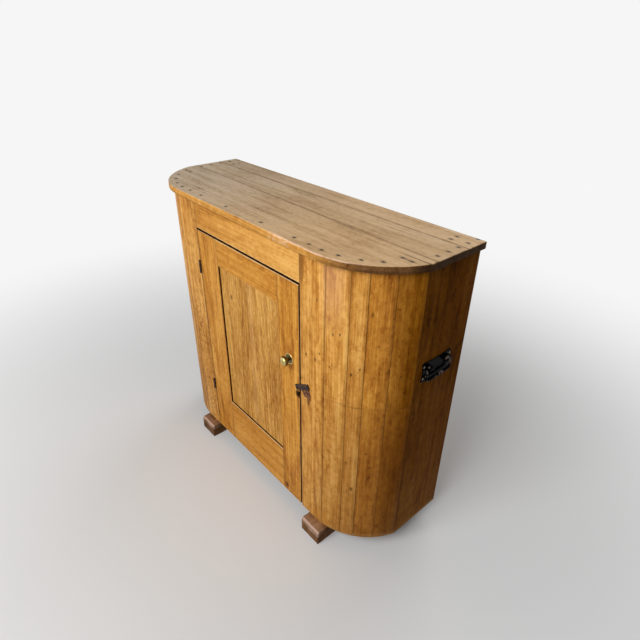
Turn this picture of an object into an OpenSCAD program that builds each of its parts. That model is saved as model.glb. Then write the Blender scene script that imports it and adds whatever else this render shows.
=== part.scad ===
// Buffet cabinet in pine: a low case with round front corners, closed by staves,
// standing on two bearers, with one framed door and an iron lifting handle at each end.
// X runs along the front, +Y points to the back and +Z up. The origin lies on the floor,
// below the middle of the whole cabinet.

/* [Case] */
// Width of the case across its two side boards
case_w = 1222; // [1000:1:1500]
// Depth of the case from its back to its flat front
case_d = 399; // [350:1:520]
// Height of the case, from the lower ends of the staves to the top boards
case_h = 1038; // [900:1:1300]
// Radius of the round front corners
corner_r = 257; // [200:1:290]
// Angle by which a corner's arc stops short of running into the side board
corner_kink = 19; // [8:1:35]
// Thickness of the front boards, staves and side boards
stave_t = 22; // [16:1:28]
// Angles of the stave joints round a corner, counted from the flat front
stave_angles = [9, 26, 37, 53]; // [4:1:60]
// Thickness of the back boards
back_t = 14; // [9:1:20]
// Shrinkage gap between neighbouring boards
board_gap = 1; // [0.4:0.1:2]
// Clearance of a board that is let in between others
fit = 0.3; // [0.1:0.05:0.6]

/* [Front] */
// Flat width of the front board left of the door
front_flat_left = 82; // [50:1:140]
// Flat width of the front board right of the door
front_flat_right = 66; // [50:1:140]
// Height of the frieze above the door
frieze_h = 101; // [60:1:160]

/* [Top] */
// Thickness of the top boards
top_t = 22; // [16:1:30]
// Overhang of the top at the front, and at the sides before it is shifted
top_overhang = 16.5; // [8:0.5:30]
// Distance that the top lies shifted to the left
top_shift = 2.5; // [0:0.5:4]
// Width of the back top board
top_back_w = 85; // [60:1:120]
// Width of the middle top board at the middle of the cabinet
top_middle_w = 118; // [90:1:150]
// Taper of the middle top board from end to end
top_taper = 26; // [0:1:40]

/* [Inside] */
// Thickness of the base boards
base_t = 22; // [16:1:28]
// Thickness of the shelves
shelf_t = 20; // [14:1:26]
// Height of the lower shelf's upper face above the case's lower edge
shelf_low = 345; // [250:1:400]
// Height of the upper shelf's upper face above the case's lower edge
shelf_high = 690; // [680:1:760]
// Thickness of the formers below the top
former_t = 22; // [16:1:28]
// Distance of each former's inner edge from the middle of the case
former_offset = 270; // [180:1:280]
// Depth of the rail that holds the tops of the back boards
back_rail_h = 60; // [40:1:90]
// Thickness of the back rail
back_rail_t = 22; // [16:1:28]
// Width of a shelf cleat
cleat_w = 20; // [14:1:26]
// Height of a shelf cleat
cleat_h = 25; // [18:1:34]
// Length of a shelf cleat
cleat_l = 160; // [100:1:180]
// Width of the door stop
stop_w = 22; // [17:1:30]
// Thickness of the door stop
stop_t = 15; // [10:1:22]
// Distance that the door stop reaches in front of the opening's edge
stop_lap = 15; // [11:1:18]

/* [Bearers] */
// Width of a bearer
bearer_w = 91; // [60:1:110]
// Height of a bearer
bearer_h = 59; // [35:1:90]
// Distance that a bearer's nose stands out in front of the case
bearer_nose = 38; // [16:1:45]
// Radius of the rounding on a bearer's nose
nose_r = 9; // [6:1:16]
// Distance from the case's left side to the left bearer
bearer_left_in = 233; // [150:1:260]
// Distance from the case's right side to the right bearer
bearer_right_in = 175; // [120:1:260]

/* [Door] */
// Thickness of the door frame
door_t = 21; // [17:1:26]
// Gap between the door and the frieze
door_top_gap = 9.5; // [2:0.5:14]
// Distance from the door's lower edge up from the case's lower edge
door_low_gap = 3; // [1:0.5:10]
// Gap between the door and the right front board
latch_gap = 7.5; // [2:0.5:10]
// Gap between the closed door and what it shuts against
door_seat = 1; // [0.4:0.1:3]
// Width of the door's left stile
stile_left_w = 123; // [80:1:150]
// Width of the door's right stile
stile_right_w = 102; // [80:1:150]
// Height of the door's top rail
rail_top_h = 100; // [70:1:140]
// Height of the door's bottom rail
rail_low_h = 203; // [120:1:240]
// Thickness of the door panel
panel_t = 7; // [5:0.5:9]
// Distance that the panel lies behind the door's front
panel_back = 8; // [4:0.5:9]
// Depth of the grooves that hold the panel
groove_d = 10; // [6:1:14]
// Length of the rail tenons
tenon_l = 60; // [30:1:70]
// Thickness of the rail tenons
tenon_t = 7; // [5:0.5:9]
// Distance that a tenon is narrower than its rail, at each edge
tenon_in = 15; // [12:1:25]
// Clearance of a tenon or panel in its mortise or groove
joint_fit = 0.2; // [0.05:0.05:0.5]

/* [Hinges] */
// Height of a hinge
hinge_h = 50; // [40:1:75]
// Thickness of a hinge leaf
leaf_t = 1.2; // [0.8:0.1:2]
// Width of a hinge leaf
leaf_w = 19; // [15:0.5:20]
// Gap between the two leaves of a closed hinge
leaf_gap = 0.3; // [0.2:0.1:1]
// Radius of a hinge knuckle
knuckle_r = 4; // [3.5:0.1:5]
// Radius of a hinge pin
pin_r = 1.6; // [1.2:0.1:2]
// Running clearance of a hinge pin
pin_fit = 0.05; // [0.02:0.01:0.1]
// Gap between the knuckles of the two leaves
knuckle_gap = 0.25; // [0.2:0.05:0.5]
// Distance from the door's upper edge down to the upper hinge
hinge_high_in = 120; // [60:1:200]
// Distance from the door's lower edge up to the lower hinge
hinge_low_in = 205; // [60:1:260]

/* [Knob] */
// Radius of the knob
knob_r = 17; // [12:0.5:20]
// Thickness of the knob
knob_t = 17; // [12:0.5:20]
// Radius of the knob's neck
neck_r = 6; // [4:0.5:9]
// Distance of the knob's front from the door
knob_reach = 30; // [28:1:50]
// Radius of the rose behind the knob
rose_r = 20; // [17:0.5:21]
// Thickness of the rose's dish
rose_t = 2; // [1.5:0.5:4]
// Radius of the bead round the rose
bead_r = 1.6; // [1:0.1:2]
// Radius of the knob's stud
stud_r = 2.5; // [2:0.5:4]
// Distance of the knob from the door's right edge
knob_in = 49.5; // [40:0.5:52]
// Height of the knob above the case's lower edge
knob_rise = 646; // [640:1:655]

/* [Latch] */
// Length of the latch bar
bar_l = 69; // [62:1:74]
// Width of the latch bar
bar_w = 19; // [14:1:22]
// Thickness of the latch bar
bar_t = 6; // [3:0.5:8]
// Angle at which the bar lies on its keeper, up to the right
bar_tilt = 28; // [0:1:40]
// Gap between the latch bar and the wood
bar_gap = 0.4; // [0.3:0.1:1]
// Distance of the bar's pivot from its left end and from the door's right edge
pivot_in = 6.5; // [6:0.5:12]
// Height of the bar's pivot above the case's lower edge
bar_rise = 560; // [540:1:570]
// Radius of the pivot screw
pivot_r = 2; // [1.5:0.5:3]
// Width of the worn notch below the bar in the door's edge
notch_w = 12; // [6:1:16]
// Height of the notch
notch_h = 26; // [12:1:30]
// Depth of the notch
notch_d = 12; // [4:1:16]
// Distance from the bar's pivot down to the notch
notch_drop = 20; // [14:1:24]
// Distance along the bar from its pivot to the keeper's remains
keeper_in = 18; // [17:1:22]
// Width of the keeper's remains
keeper_w = 40; // [30:1:42]
// Height of the keeper's remains
keeper_h = 38; // [24:1:42]
// Thickness of the keeper's plate
keeper_t = 2; // [1.5:0.5:3]
// Width of the keeper's ledge
ledge_w = 12; // [8:1:18]

/* [Lifting handles] */
// Width of a handle plate
plate_w = 136; // [134:1:160]
// Height of a handle plate
plate_h = 68; // [66:1:90]
// Thickness of a handle plate
plate_t = 3; // [2:0.5:5]
// Depth of the hollow between the ears at each end of a plate
plate_hollow = 5; // [3:1:7]
// Depth of the hollows in the upper and lower edge of a plate
edge_hollow = 3; // [2:1:7]
// Radius of a plate's corners
ear_r = 8; // [5:0.5:12]
// Distance of the handle screws from a plate's ends
ear_in_y = 8; // [7.5:0.5:9]
// Distance of the handle screws from a plate's upper and lower edge
ear_in_z = 13; // [9:1:16]
// Distance from the case's back to the middle of a plate
handle_in = 134; // [90:1:138]
// Height of a plate's middle above the case's lower edge
handle_rise = 699; // [500:1:750]
// Distance between the two lugs of a plate
lug_span = 84; // [74:1:88]
// Thickness of a lug
lug_t = 18; // [10:1:20]
// Radius of a lug
lug_r = 7.5; // [5.5:0.5:8]
// Height of the lugs above the plate's middle
lug_rise = 13; // [8:1:18]
// Distance of the bail's axis from the plate
bail_out = 9; // [8:0.5:12]
// Radius of the bail's rod
bail_r = 4; // [3:0.5:4.5]
// Radius of the bail's turned-in ends
bail_end_r = 3; // [2:0.5:3]
// Height of the bail, from its axis to the middle of its grip
bail_drop = 40; // [38:1:54]
// Radius of the bail's bends
bend_r = 9; // [6:1:14]
// Radius of the bail's grip
grip_r = 5; // [4:0.5:6]
// Gap between the bail and a lug
bail_gap = 0.5; // [0.3:0.1:1]

/* [Nails and screws] */
// Length of a nail in the top
nail_l = 40; // [30:1:42]
// Radius of a nail's shank
nail_r = 1.4; // [1:0.1:2]
// Radius of a nail's head
nail_head_r = 3.2; // [2.5:0.1:4]
// Thickness of a nail's head
nail_head_t = 1.2; // [0.8:0.1:2]
// Distance that a nail's head lies below the surface
nail_sink = 0.3; // [0:0.1:1]
// Length of a screw
screw_l = 16; // [10:1:18]
// Radius of a screw's shank
screw_r = 1.6; // [1.2:0.1:2]
// Radius of a hinge screw's head
screw_head_r = 3; // [2.5:0.1:3.5]
// Radius of a handle screw's head
button_r = 3.6; // [3:0.1:4]
// Clearance of a nail or screw in its hole
hole_fit = 0.1; // [0.05:0.05:0.2]

/* [Hidden] */
$fn = 96;

// Heights
case_z = bearer_h;
case_top = case_z + case_h;
top_z = case_top + top_t;

// The deepest piece in front of the case sets how far the case stands back of the origin
front_reach = max(knob_reach, bearer_nose, top_overhang);
back_y = (case_d + front_reach) / 2;
front_y = back_y - case_d;
case_in_y = front_y + stave_t;
back_in_y = back_y - back_t;

// Round corners: centre, and where the arc ends
side_x = case_w / 2;
corner_x = side_x - corner_r * cos(corner_kink);
corner_y = front_y + corner_r;
arc_end = 90 - corner_kink;
side_y = corner_y - corner_r * cos(arc_end);
stave_edges = concat(stave_angles, [arc_end]);
gap_angle = board_gap / 2 / corner_r * 180 / PI;

// Door opening
open_left = -corner_x + front_flat_left;
open_right = corner_x - front_flat_right;
open_w = open_right - open_left;
frieze_z = case_top - frieze_h;

// Door
hinge_gap = 2 * leaf_t + leaf_gap;
door_left = open_left + hinge_gap;
door_right = open_right - latch_gap;
door_low = case_z + door_low_gap;
door_high = frieze_z - door_top_gap;
door_in_y = front_y + door_t;
panel_left = door_left + stile_left_w;
panel_right = door_right - stile_right_w;
panel_low = door_low + rail_low_h;
panel_high = door_high - rail_top_h;
tenon_y = front_y + panel_back + panel_t / 2 - tenon_t / 2;

// Back boards side by side
back_count = 5;

// Inside boards end close behind the door
inside_front_y = max(case_in_y, door_in_y + door_seat) + fit;
split_y = (inside_front_y + back_in_y) / 2;
shelf_tops = [case_z + shelf_low, case_z + shelf_high];
cleat_y = corner_y - (side_x - stave_t - corner_x) / tan(arc_end) + board_gap;
floor_z = case_z + base_t;
former_z = case_top - former_t;

// Hinges
axis_x = open_left + hinge_gap / 2;
axis_y = front_y - knuckle_r - leaf_gap;
hinge_zs = [door_low + hinge_low_in, door_high - hinge_high_in - hinge_h];
knuckle_count = 5;
pin_head_r = knuckle_r - 0.8;
pin_head_t = 1.5;
knuckle_h = hinge_h / knuckle_count;

// Screw heads
button_t = 2.4;
slot_w = 1;
leaf_screw_shares = [0.36, 0.68, 0.36];

// Knob and latch
knob_x = door_right - knob_in;
knob_z = case_z + knob_rise;
boss_r = neck_r + 5;
nut_r = 6;
nut_t = 4;
pivot_x = door_right - pivot_in;
pivot_z = case_z + bar_rise;
pivot_head_r = 4.5;
pivot_head_t = 2;
bar_nip = 1.5;
notch_top = pivot_z - notch_drop;
keeper_up = -bar_w / 2 - bar_gap;
keeper_nail_l = 14;
keeper_nail_spots = [[0.22, 0.3], [0.8, 0.3]];
// Outline of the keeper's remains, in shares of its width and height like its nails
keeper_outline = [[0, 0], [1, 0], [0.9, 0.55], [0.7, 1], [0.5, 0.74], [0.1, 0.66], [-0.03, 0.45]];

// Lifting handles
handle_y = back_y - handle_in;
handle_z = case_z + handle_rise;
lug_z = handle_z + lug_rise;
arm_y = lug_span / 2 + lug_t / 2 + bail_gap + bail_r;
edge_chord = plate_w - 4 * ear_in_y;
bail_end_out = 1.5;

// Middle joint of the top: its two ends, across the full width
top_joint_y = back_y - top_back_w;
middle_joint_y = top_joint_y - top_middle_w;
top_reach = side_x + top_overhang + top_shift + 1;

// Places of the nails in the top: shares of the piece that each one holds, or distances in mm
nail_in_r = corner_r - stave_t / 2;
side_nails = 5;
side_nail_share = 0.12;
stave_nail_share = 0.4;
corner_nail_share = 1 / 3;
front_nail_share = 0.42;
frieze_nail_shares = [0.07, 0.34, 0.67, 0.94];
former_nails_in_x = 60;
former_nails_in_y = [34, 62, 264];
function arc_spot(side, a) = [side * (corner_x + nail_in_r * sin(a)), corner_y - nail_in_r * cos(a)];
function stave_spots(side, i) =
    [arc_spot(side, stave_edges[i] + stave_nail_share * (stave_edges[i + 1] - stave_edges[i]))];
function front_spots(side) =
    let (edge = side < 0 ? -open_left : open_right)
    concat([arc_spot(side, stave_edges[0] * corner_nail_share)],
           [[side * (edge + front_nail_share * (corner_x - edge)), front_y + stave_t / 2]]);
function side_spots(side) =
    let (pitch = (back_y - side_y) / side_nails)
    [for (i = [0:side_nails - 1])
        [side * (side_x - stave_t / 2), back_y - (i + side_nail_share) * pitch]];
function frieze_spots() =
    [for (share = frieze_nail_shares) [open_left + share * open_w, front_y + stave_t / 2]];
function former_spots(side) =
    [for (in_y = former_nails_in_y) [side * (side_x - former_nails_in_x), back_y - in_y]];
top_spots = concat(
    frieze_spots(),
    [for (side = [-1, 1]) each front_spots(side)],
    [for (side = [-1, 1]) each side_spots(side)],
    [for (side = [-1, 1]) each former_spots(side)],
    [for (side = [-1, 1], i = [0:3]) each stave_spots(side, i)]);

// Box between two opposite corners
module block(low, high) {
    translate(low) cube(high - low);
}

// Board with the case's outline, standing out from the case's faces by out, as far back as rear
// Its straight stretches and its round corners reach a little into each other
module case_outline(z, h, out, rear) {
    w = side_x + out;
    r = corner_r + out;
    meet_y = corner_y - sqrt(r ^ 2 - (w - corner_x) ^ 2);
    block([-w, meet_y, z], [w, rear, z + h]);
    block([-corner_x, front_y - out, z], [corner_x, meet_y + fit, z + h]);
    for (side = [-1, 1]) on_side(side) intersection() {
        translate([corner_x, corner_y, z]) cylinder(r = r, h = h);
        block([corner_x - fit, front_y - out - 1, z - 1], [w, meet_y + fit, z + h + 1]);
    }
}

// Wedge from a corner's centre, between two angles counted from the flat front
module corner_wedge(a0, a1) {
    far = 2 * corner_r;
    translate([corner_x, corner_y, case_z])
        linear_extrude(case_h)
            polygon([[0, 0], [far * sin(a0), -far * cos(a0)], [far * sin(a1), -far * cos(a1)]]);
}

// Stretch of the right corner's curved wall
module corner_wall(a0, a1) {
    intersection() {
        translate([corner_x, corner_y, case_z]) difference() {
            cylinder(r = corner_r, h = case_h);
            translate([0, 0, -1]) cylinder(r = corner_r - stave_t, h = case_h + 2);
        }
        corner_wedge(a0, a1);
    }
}

// Turns a piece of the right end into one of the given side
module on_side(side) {
    if (side < 0)
        mirror([1, 0, 0]) children();
    else
        children();
}

// Nails in the top at the given places, thicker by grow
module nails_at(spots, grow = 0) {
    point_z = top_z - nail_l - grow;
    head_z = top_z - nail_sink - nail_head_t;
    head_h = grow > 0 ? top_t : nail_head_t;
    for (spot = spots) translate([spot.x, spot.y, 0]) {
        translate([0, 0, point_z])
            cylinder(r = nail_r + grow, h = head_z + nail_head_t / 2 - point_z, $fn = 24);
        translate([0, 0, head_z]) cylinder(r = nail_head_r + grow, h = head_h, $fn = 24);
    }
}

// Slotted screw along -Z, its head's underside at the origin, as deep as length
module screw(head_r, head_h, length, shank_r) {
    difference() {
        union() {
            cylinder(r = head_r, h = head_h / 2, $fn = 32);
            translate([0, 0, head_h / 2])
                cylinder(r1 = head_r, r2 = head_r * 0.6, h = head_h / 2, $fn = 32);
            translate([0, 0, -length]) cylinder(r = shank_r, h = length + head_h / 4, $fn = 24);
        }
        block([-head_r, -slot_w / 2, head_h / 2], [head_r, slot_w / 2, head_h + 1]);
    }
}

// Flat-headed screw along -Z, its head's face at the origin
module flat_screw(grow = 0) {
    translate([0, 0, -leaf_t])
        cylinder(r1 = screw_r + grow, r2 = screw_head_r + grow, h = leaf_t + grow, $fn = 32);
    translate([0, 0, -leaf_t - screw_l - grow])
        cylinder(r = screw_r + grow, h = screw_l + leaf_t / 2 + grow, $fn = 24);
}

// Case

module top_slab() {
    translate([-top_shift, 0, 0]) case_outline(case_top, top_t, top_overhang, back_y);
}

// Part of the top slab inside an outline seen from above, with its nail holes
module top_board(outline) {
    difference() {
        intersection() {
            top_slab();
            translate([0, 0, case_top - 1]) linear_extrude(top_t + 2) polygon(outline);
        }
        nails_at(top_spots, hole_fit);
    }
}

function middle_joint(x, shift) = [x, middle_joint_y - top_taper / 2 * x / top_reach + shift];

module top_board_back() {
    color("#a8743c") top_board([
        [-top_reach, top_joint_y + board_gap / 2], [top_reach, top_joint_y + board_gap / 2],
        [top_reach, back_y + 1], [-top_reach, back_y + 1]]);
}

module top_board_middle() {
    color("#a9855a") top_board([
        middle_joint(-top_reach, board_gap / 2), middle_joint(top_reach, board_gap / 2),
        [top_reach, top_joint_y - board_gap / 2], [-top_reach, top_joint_y - board_gap / 2]]);
}

module top_board_front() {
    low_y = front_y - top_overhang - 1;
    color("#a9855a") top_board([
        [-top_reach, low_y], [top_reach, low_y],
        middle_joint(top_reach, -board_gap / 2), middle_joint(-top_reach, -board_gap / 2)]);
}

module frieze_rail() {
    color("#c98a3e") difference() {
        block([open_left + board_gap, front_y, frieze_z], [open_right - board_gap, case_in_y, case_top]);
        nails_at(frieze_spots(), hole_fit);
    }
}

// Front board of one side: flat beside the door, then round the first stretch of the corner
module front_board(side) {
    edge = side < 0 ? -open_left : open_right;
    difference() {
        on_side(side) union() {
            block([edge, front_y, case_z], [corner_x, case_in_y, case_top]);
            corner_wall(0, stave_edges[0] - gap_angle);
        }
        nails_at(front_spots(side), hole_fit);
    }
}

module front_board_left() {
    color("#c98f45") difference() {
        front_board(-1);
        hinge_screws(-1, hole_fit);
    }
}

module front_board_right() {
    color("#c98f45") difference() {
        front_board(1);
        keeper_nails_solid(hole_fit);
    }
}

module stave(side, i) {
    color(i % 2 == 0 ? "#c4883c" : "#bd8238") difference() {
        on_side(side) corner_wall(stave_edges[i] + gap_angle, stave_edges[i + 1] - gap_angle);
        nails_at(stave_spots(side, i), hole_fit);
    }
}

module side_board(side) {
    color("#a66b2a") difference() {
        on_side(side) difference() {
            block([side_x - stave_t, side_y, case_z], [side_x, back_y, case_top]);
            corner_wedge(0, arc_end + gap_angle);
        }
        nails_at(side_spots(side), hole_fit);
        handle_screws_side(side, hole_fit);
    }
}

module back_board(i) {
    low_x = -side_x + stave_t + fit;
    pitch = (-2 * low_x + board_gap) / back_count;
    color("#9c6a35") block(
        [low_x + (i - 1) * pitch, back_in_y, case_z],
        [low_x + i * pitch - board_gap, back_y, case_top]);
}

module back_rail() {
    color("#b07c40") block(
        [-former_offset + board_gap, back_in_y - back_rail_t, case_top - back_rail_h],
        [former_offset - board_gap, back_in_y, case_top]);
}

// Board inside the case, from the doorway to the back boards
module inside_board(z, h) {
    intersection() {
        case_outline(z, h, -stave_t - fit, back_in_y - fit);
        block([-side_x, inside_front_y, z], [side_x, back_in_y, z + h]);
    }
}

module inside_half(z, h, rear) {
    low_y = rear ? split_y + board_gap / 2 : front_y;
    high_y = rear ? back_y : split_y - board_gap / 2;
    intersection() {
        inside_board(z, h);
        block([-side_x, low_y, z], [side_x, high_y, z + h]);
    }
}

module base_board(rear) {
    color("#b58247") inside_half(case_z, base_t, rear);
}

module shelf(level, rear) {
    color("#b98a52") inside_half(shelf_tops[level] - shelf_t, shelf_t, rear);
}

module top_former(side) {
    color("#b07c40") difference() {
        on_side(side) intersection() {
            inside_board(former_z, former_t);
            block([former_offset, front_y, former_z], [side_x, back_y, case_top]);
        }
        nails_at(former_spots(side), hole_fit);
    }
}

module shelf_cleats() {
    color("#b07c40")
        for (side = [-1, 1], top = shelf_tops) on_side(side) {
            z = top - shelf_t;
            x = side_x - stave_t;
            block([x - cleat_w, cleat_y, z - cleat_h], [x, cleat_y + cleat_l, z]);
        }
}

// Lengths of stop between the base, the shelves and the frieze
module door_stop() {
    lows = concat([floor_z], shelf_tops);
    highs = concat([for (top = shelf_tops) top - shelf_t], [former_z]);
    left = open_right - stop_lap;
    stop_y = inside_front_y - fit;
    color("#a9773d")
        for (i = [0:len(lows) - 1])
            block([left, stop_y, lows[i]], [left + stop_w, stop_y + stop_t, highs[i]]);
}

module bearer(x) {
    nose_y = front_y - bearer_nose;
    color("#8a5230") union() {
        block([x, nose_y + nose_r, 0], [x + bearer_w, back_y, bearer_h]);
        block([x, nose_y, 0], [x + bearer_w, nose_y + nose_r, bearer_h - nose_r]);
        translate([x, nose_y + nose_r, bearer_h - nose_r])
            rotate([0, 90, 0]) cylinder(r = nose_r, h = bearer_w);
    }
}

module bearer_left() {
    bearer(-side_x + bearer_left_in);
}

module bearer_right() {
    bearer(side_x - bearer_right_in - bearer_w);
}

module top_nails() {
    color("#4a3324") nails_at(top_spots);
}

// Door

// Both tenons of a rail, as one bar that runs through the rail
module tenons(low, high, grow = 0) {
    block([panel_left - tenon_l - grow, tenon_y - grow, low + tenon_in - grow],
        [panel_right + tenon_l + grow, tenon_y + tenon_t + grow, high - tenon_in + grow]);
}

// Mortises and grooves of a stile
module stile_cuts() {
    tenons(door_low, panel_low, joint_fit);
    tenons(panel_high, door_high, joint_fit);
    panel_solid(joint_fit);
}

module panel_solid(grow = 0) {
    reach = groove_d - joint_fit + grow;
    block([panel_left - reach, front_y + panel_back - grow, panel_low - reach],
        [panel_right + reach, front_y + panel_back + panel_t + grow, panel_high + reach]);
}

module door_panel() {
    color("#b9833f") panel_solid();
}

module door_stile_left() {
    color("#c98f45") difference() {
        block([door_left, front_y, door_low], [panel_left, door_in_y, door_high]);
        stile_cuts();
        hinge_screws(1, hole_fit);
    }
}

module door_stile_right() {
    color("#c98f45") difference() {
        block([panel_right, front_y, door_low], [door_right, door_in_y, door_high]);
        stile_cuts();
        block([door_right - notch_w, front_y - 1, notch_top - notch_h],
            [door_right + 1, front_y + notch_d, notch_top]);
        translate([pivot_x, front_y - 1, pivot_z])
            rotate([-90, 0, 0]) cylinder(r = pivot_r + hole_fit, h = screw_l + 1 + hole_fit, $fn = 48);
        translate([knob_x, front_y - 1, knob_z])
            rotate([-90, 0, 0]) cylinder(r = stud_r + hole_fit, h = door_t + 2, $fn = 32);
    }
}

// Rail between the stiles, with a tenon at each end
module door_rail(low, high) {
    difference() {
        union() {
            block([panel_left, front_y, low], [panel_right, door_in_y, high]);
            tenons(low, high);
        }
        panel_solid(joint_fit);
    }
}

module door_rail_top() {
    color("#c58a40") door_rail(panel_high, door_high);
}

module door_rail_bottom() {
    color("#c58a40") door_rail(door_low, panel_low);
}

// Hinges

// One leaf: side -1 on the case, side 1 on the door
module hinge_leaf(side, z) {
    inner = leaf_gap / 2;
    color("#3a2a20") difference() {
        union() {
            translate([axis_x, 0, z]) on_side(side)
                block([inner, front_y, 0], [inner + leaf_t, front_y + leaf_w, hinge_h]);
            for (i = [(side < 0 ? 0 : 1):2:knuckle_count - 1]) {
                low = i * knuckle_h + knuckle_gap / 2;
                translate([axis_x, axis_y, z + low]) {
                    cylinder(r = knuckle_r, h = knuckle_h - knuckle_gap, $fn = 48);
                    on_side(side) block(
                        [inner, 0, 0], [inner + leaf_t, front_y + 1 - axis_y, knuckle_h - knuckle_gap]);
                }
            }
        }
        translate([axis_x, axis_y, z - 1]) cylinder(r = pin_r + pin_fit, h = hinge_h + 2, $fn = 48);
        hinge_screws(side, hole_fit);
    }
}

module hinge_pins() {
    color("#3a2a20")
        for (z = hinge_zs) translate([axis_x, axis_y, z]) {
            cylinder(r = pin_r, h = hinge_h, $fn = 48);
            translate([0, 0, hinge_h]) cylinder(r = pin_head_r, h = pin_head_t, $fn = 48);
        }
}

// Screws of the case leaves (side -1) or the door leaves (side 1)
module hinge_screws(side, grow = 0) {
    for (z = hinge_zs, i = [0:2]) {
        y = front_y + leaf_w * leaf_screw_shares[i];
        translate([axis_x + side * leaf_gap / 2, y, z + (i + 0.5) / 3 * hinge_h])
            rotate([0, side < 0 ? 90 : -90, 0]) flat_screw(grow);
    }
}

// Knob

module knob() {
    edge_r = knob_t / 2;
    color("#c9a24a") translate([knob_x, front_y, knob_z]) rotate([90, 0, 0]) union() {
        translate([0, 0, knob_reach - edge_r]) rotate_extrude() intersection() {
            union() {
                translate([knob_r - edge_r, 0]) circle(r = edge_r);
                translate([0, -edge_r]) square([knob_r - edge_r, knob_t]);
            }
            translate([0, -edge_r]) square([knob_r, knob_t]);
        }
        translate([0, 0, rose_t]) cylinder(r = neck_r, h = knob_reach - knob_t - rose_t + 1);
        translate([0, 0, -door_t - nut_t - 1])
            cylinder(r = stud_r, h = door_t + nut_t + rose_t + 2, $fn = 32);
    }
}

// Dished rose: a disc with a bead round it and a low boss below the neck
module knob_rose() {
    color("#c9a24a") translate([knob_x, front_y, knob_z]) rotate([90, 0, 0]) difference() {
        union() {
            cylinder(r = rose_r - bead_r, h = rose_t / 2);
            cylinder(r1 = boss_r, r2 = neck_r + 1, h = rose_t);
            rotate_extrude() intersection() {
                translate([rose_r - bead_r, 0.6 * bead_r]) circle(r = bead_r, $fn = 32);
                square([rose_r, 2 * bead_r]);
            }
        }
        translate([0, 0, -1]) cylinder(r = stud_r + hole_fit, h = rose_t + 2, $fn = 32);
    }
}

module knob_nut() {
    color("#6b5a3a") translate([knob_x, door_in_y, knob_z]) rotate([-90, 0, 0]) difference() {
        cylinder(r = nut_r, h = nut_t, $fn = 6);
        translate([0, 0, -1]) cylinder(r = stud_r + hole_fit / 2, h = nut_t + 2, $fn = 32);
    }
}

// Latch

// Frame of the bar: x along it from its pivot, y across it and z out of the door's front
module along_bar() {
    translate([pivot_x, front_y, pivot_z]) rotate([90, 0, 0]) rotate([0, 0, bar_tilt]) children();
}

module latch_bar() {
    left = -pivot_in;
    right = bar_l - pivot_in;
    front = bar_gap + bar_t;
    color("#4a4a4e") along_bar() difference() {
        union() {
            block([left + bar_nip, -bar_w / 2, bar_gap], [right, bar_w / 2, front]);
            block([left, -bar_w / 2 + bar_nip, bar_gap], [0, bar_w / 2 - bar_nip, front]);
        }
        cylinder(r = pivot_r + pin_fit, h = bar_t + 2, $fn = 48);
    }
}

module latch_screw() {
    head_z = bar_t + 2 * bar_gap;
    color("#3d3532") along_bar() translate([0, 0, head_z])
        screw(pivot_head_r, pivot_head_t, screw_l + head_z, pivot_r);
}

// Rusted plate below the bar, worn to a point, with a ledge that the bar rests on
module latch_keeper() {
    color("#6e3f26") along_bar() translate([keeper_in, keeper_up, 0]) difference() {
        union() {
            linear_extrude(keeper_t)
                polygon([for (spot = keeper_outline) [spot.x * keeper_w, -spot.y * keeper_h]]);
            block([keeper_w - ledge_w, -keeper_t, 0], [keeper_w, 0, bar_gap + bar_t]);
        }
        keeper_nail_pair(hole_fit);
    }
}

// The keeper's two nails, from the keeper's upper left corner
module keeper_nail_pair(grow = 0) {
    for (spot = keeper_nail_spots)
        translate([spot.x * keeper_w, -spot.y * keeper_h, 0]) {
            translate([0, 0, -keeper_nail_l - grow])
                cylinder(
                    r = nail_r + grow, h = keeper_nail_l + keeper_t + nail_head_t / 2 + grow, $fn = 24);
            if (grow == 0)
                translate([0, 0, keeper_t])
                    cylinder(r1 = nail_head_r, r2 = nail_r, h = nail_head_t, $fn = 24);
        }
}

module keeper_nails_solid(grow = 0) {
    along_bar() translate([keeper_in, keeper_up, 0]) keeper_nail_pair(grow);
}

module keeper_nails() {
    color("#4b2c1c") keeper_nails_solid();
}

// Lifting handles

// Disc along X that hollows an edge by depth over a chord, its bite's deepest point at the origin
module bite(chord, depth) {
    r = ((chord / 2) ^ 2 + depth ^ 2) / (2 * depth);
    translate([-1, r, 0]) rotate([0, 90, 0]) cylinder(r = r, h = plate_t + 2);
}

// Plate with round corners, its middle at the origin
module plate_blank() {
    in_y = plate_w / 2 - ear_r;
    in_z = plate_h / 2 - ear_r;
    block([0, -plate_w / 2, -in_z], [plate_t, plate_w / 2, in_z]);
    block([0, -in_y, -plate_h / 2], [plate_t, in_y, plate_h / 2]);
    for (y = [-in_y, in_y], z = [-in_z, in_z])
        translate([0, y, z]) rotate([0, 90, 0]) cylinder(r = ear_r, h = plate_t, $fn = 48);
}

module handle_plate(side) {
    color("#141416") on_side(side) translate([side_x, handle_y, 0]) difference() {
        union() {
            translate([0, 0, handle_z]) plate_blank();
            for (end = [-1, 1]) translate([0, end * lug_span / 2 - lug_t / 2, lug_z]) {
                block([plate_t / 2, 0, -lug_r], [plate_t + bail_out, lug_t, lug_r]);
                translate([plate_t + bail_out, 0, 0])
                    rotate([-90, 0, 0]) cylinder(r = lug_r, h = lug_t, $fn = 48);
            }
        }
        for (end = [0, 180]) translate([0, 0, handle_z]) {
            rotate([end, 0, 0]) translate([0, plate_w / 2 - plate_hollow, 0]) bite(plate_h, plate_hollow);
            rotate([end + 90, 0, 0])
                translate([0, plate_h / 2 - edge_hollow, 0]) bite(edge_chord, edge_hollow);
        }
        translate([plate_t + bail_out, -lug_span, lug_z])
            rotate([-90, 0, 0]) cylinder(r = bail_end_r + pin_fit, h = 2 * lug_span, $fn = 48);
        translate([-side_x, -handle_y, 0]) handle_screw_row(hole_fit);
    }
}

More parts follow.
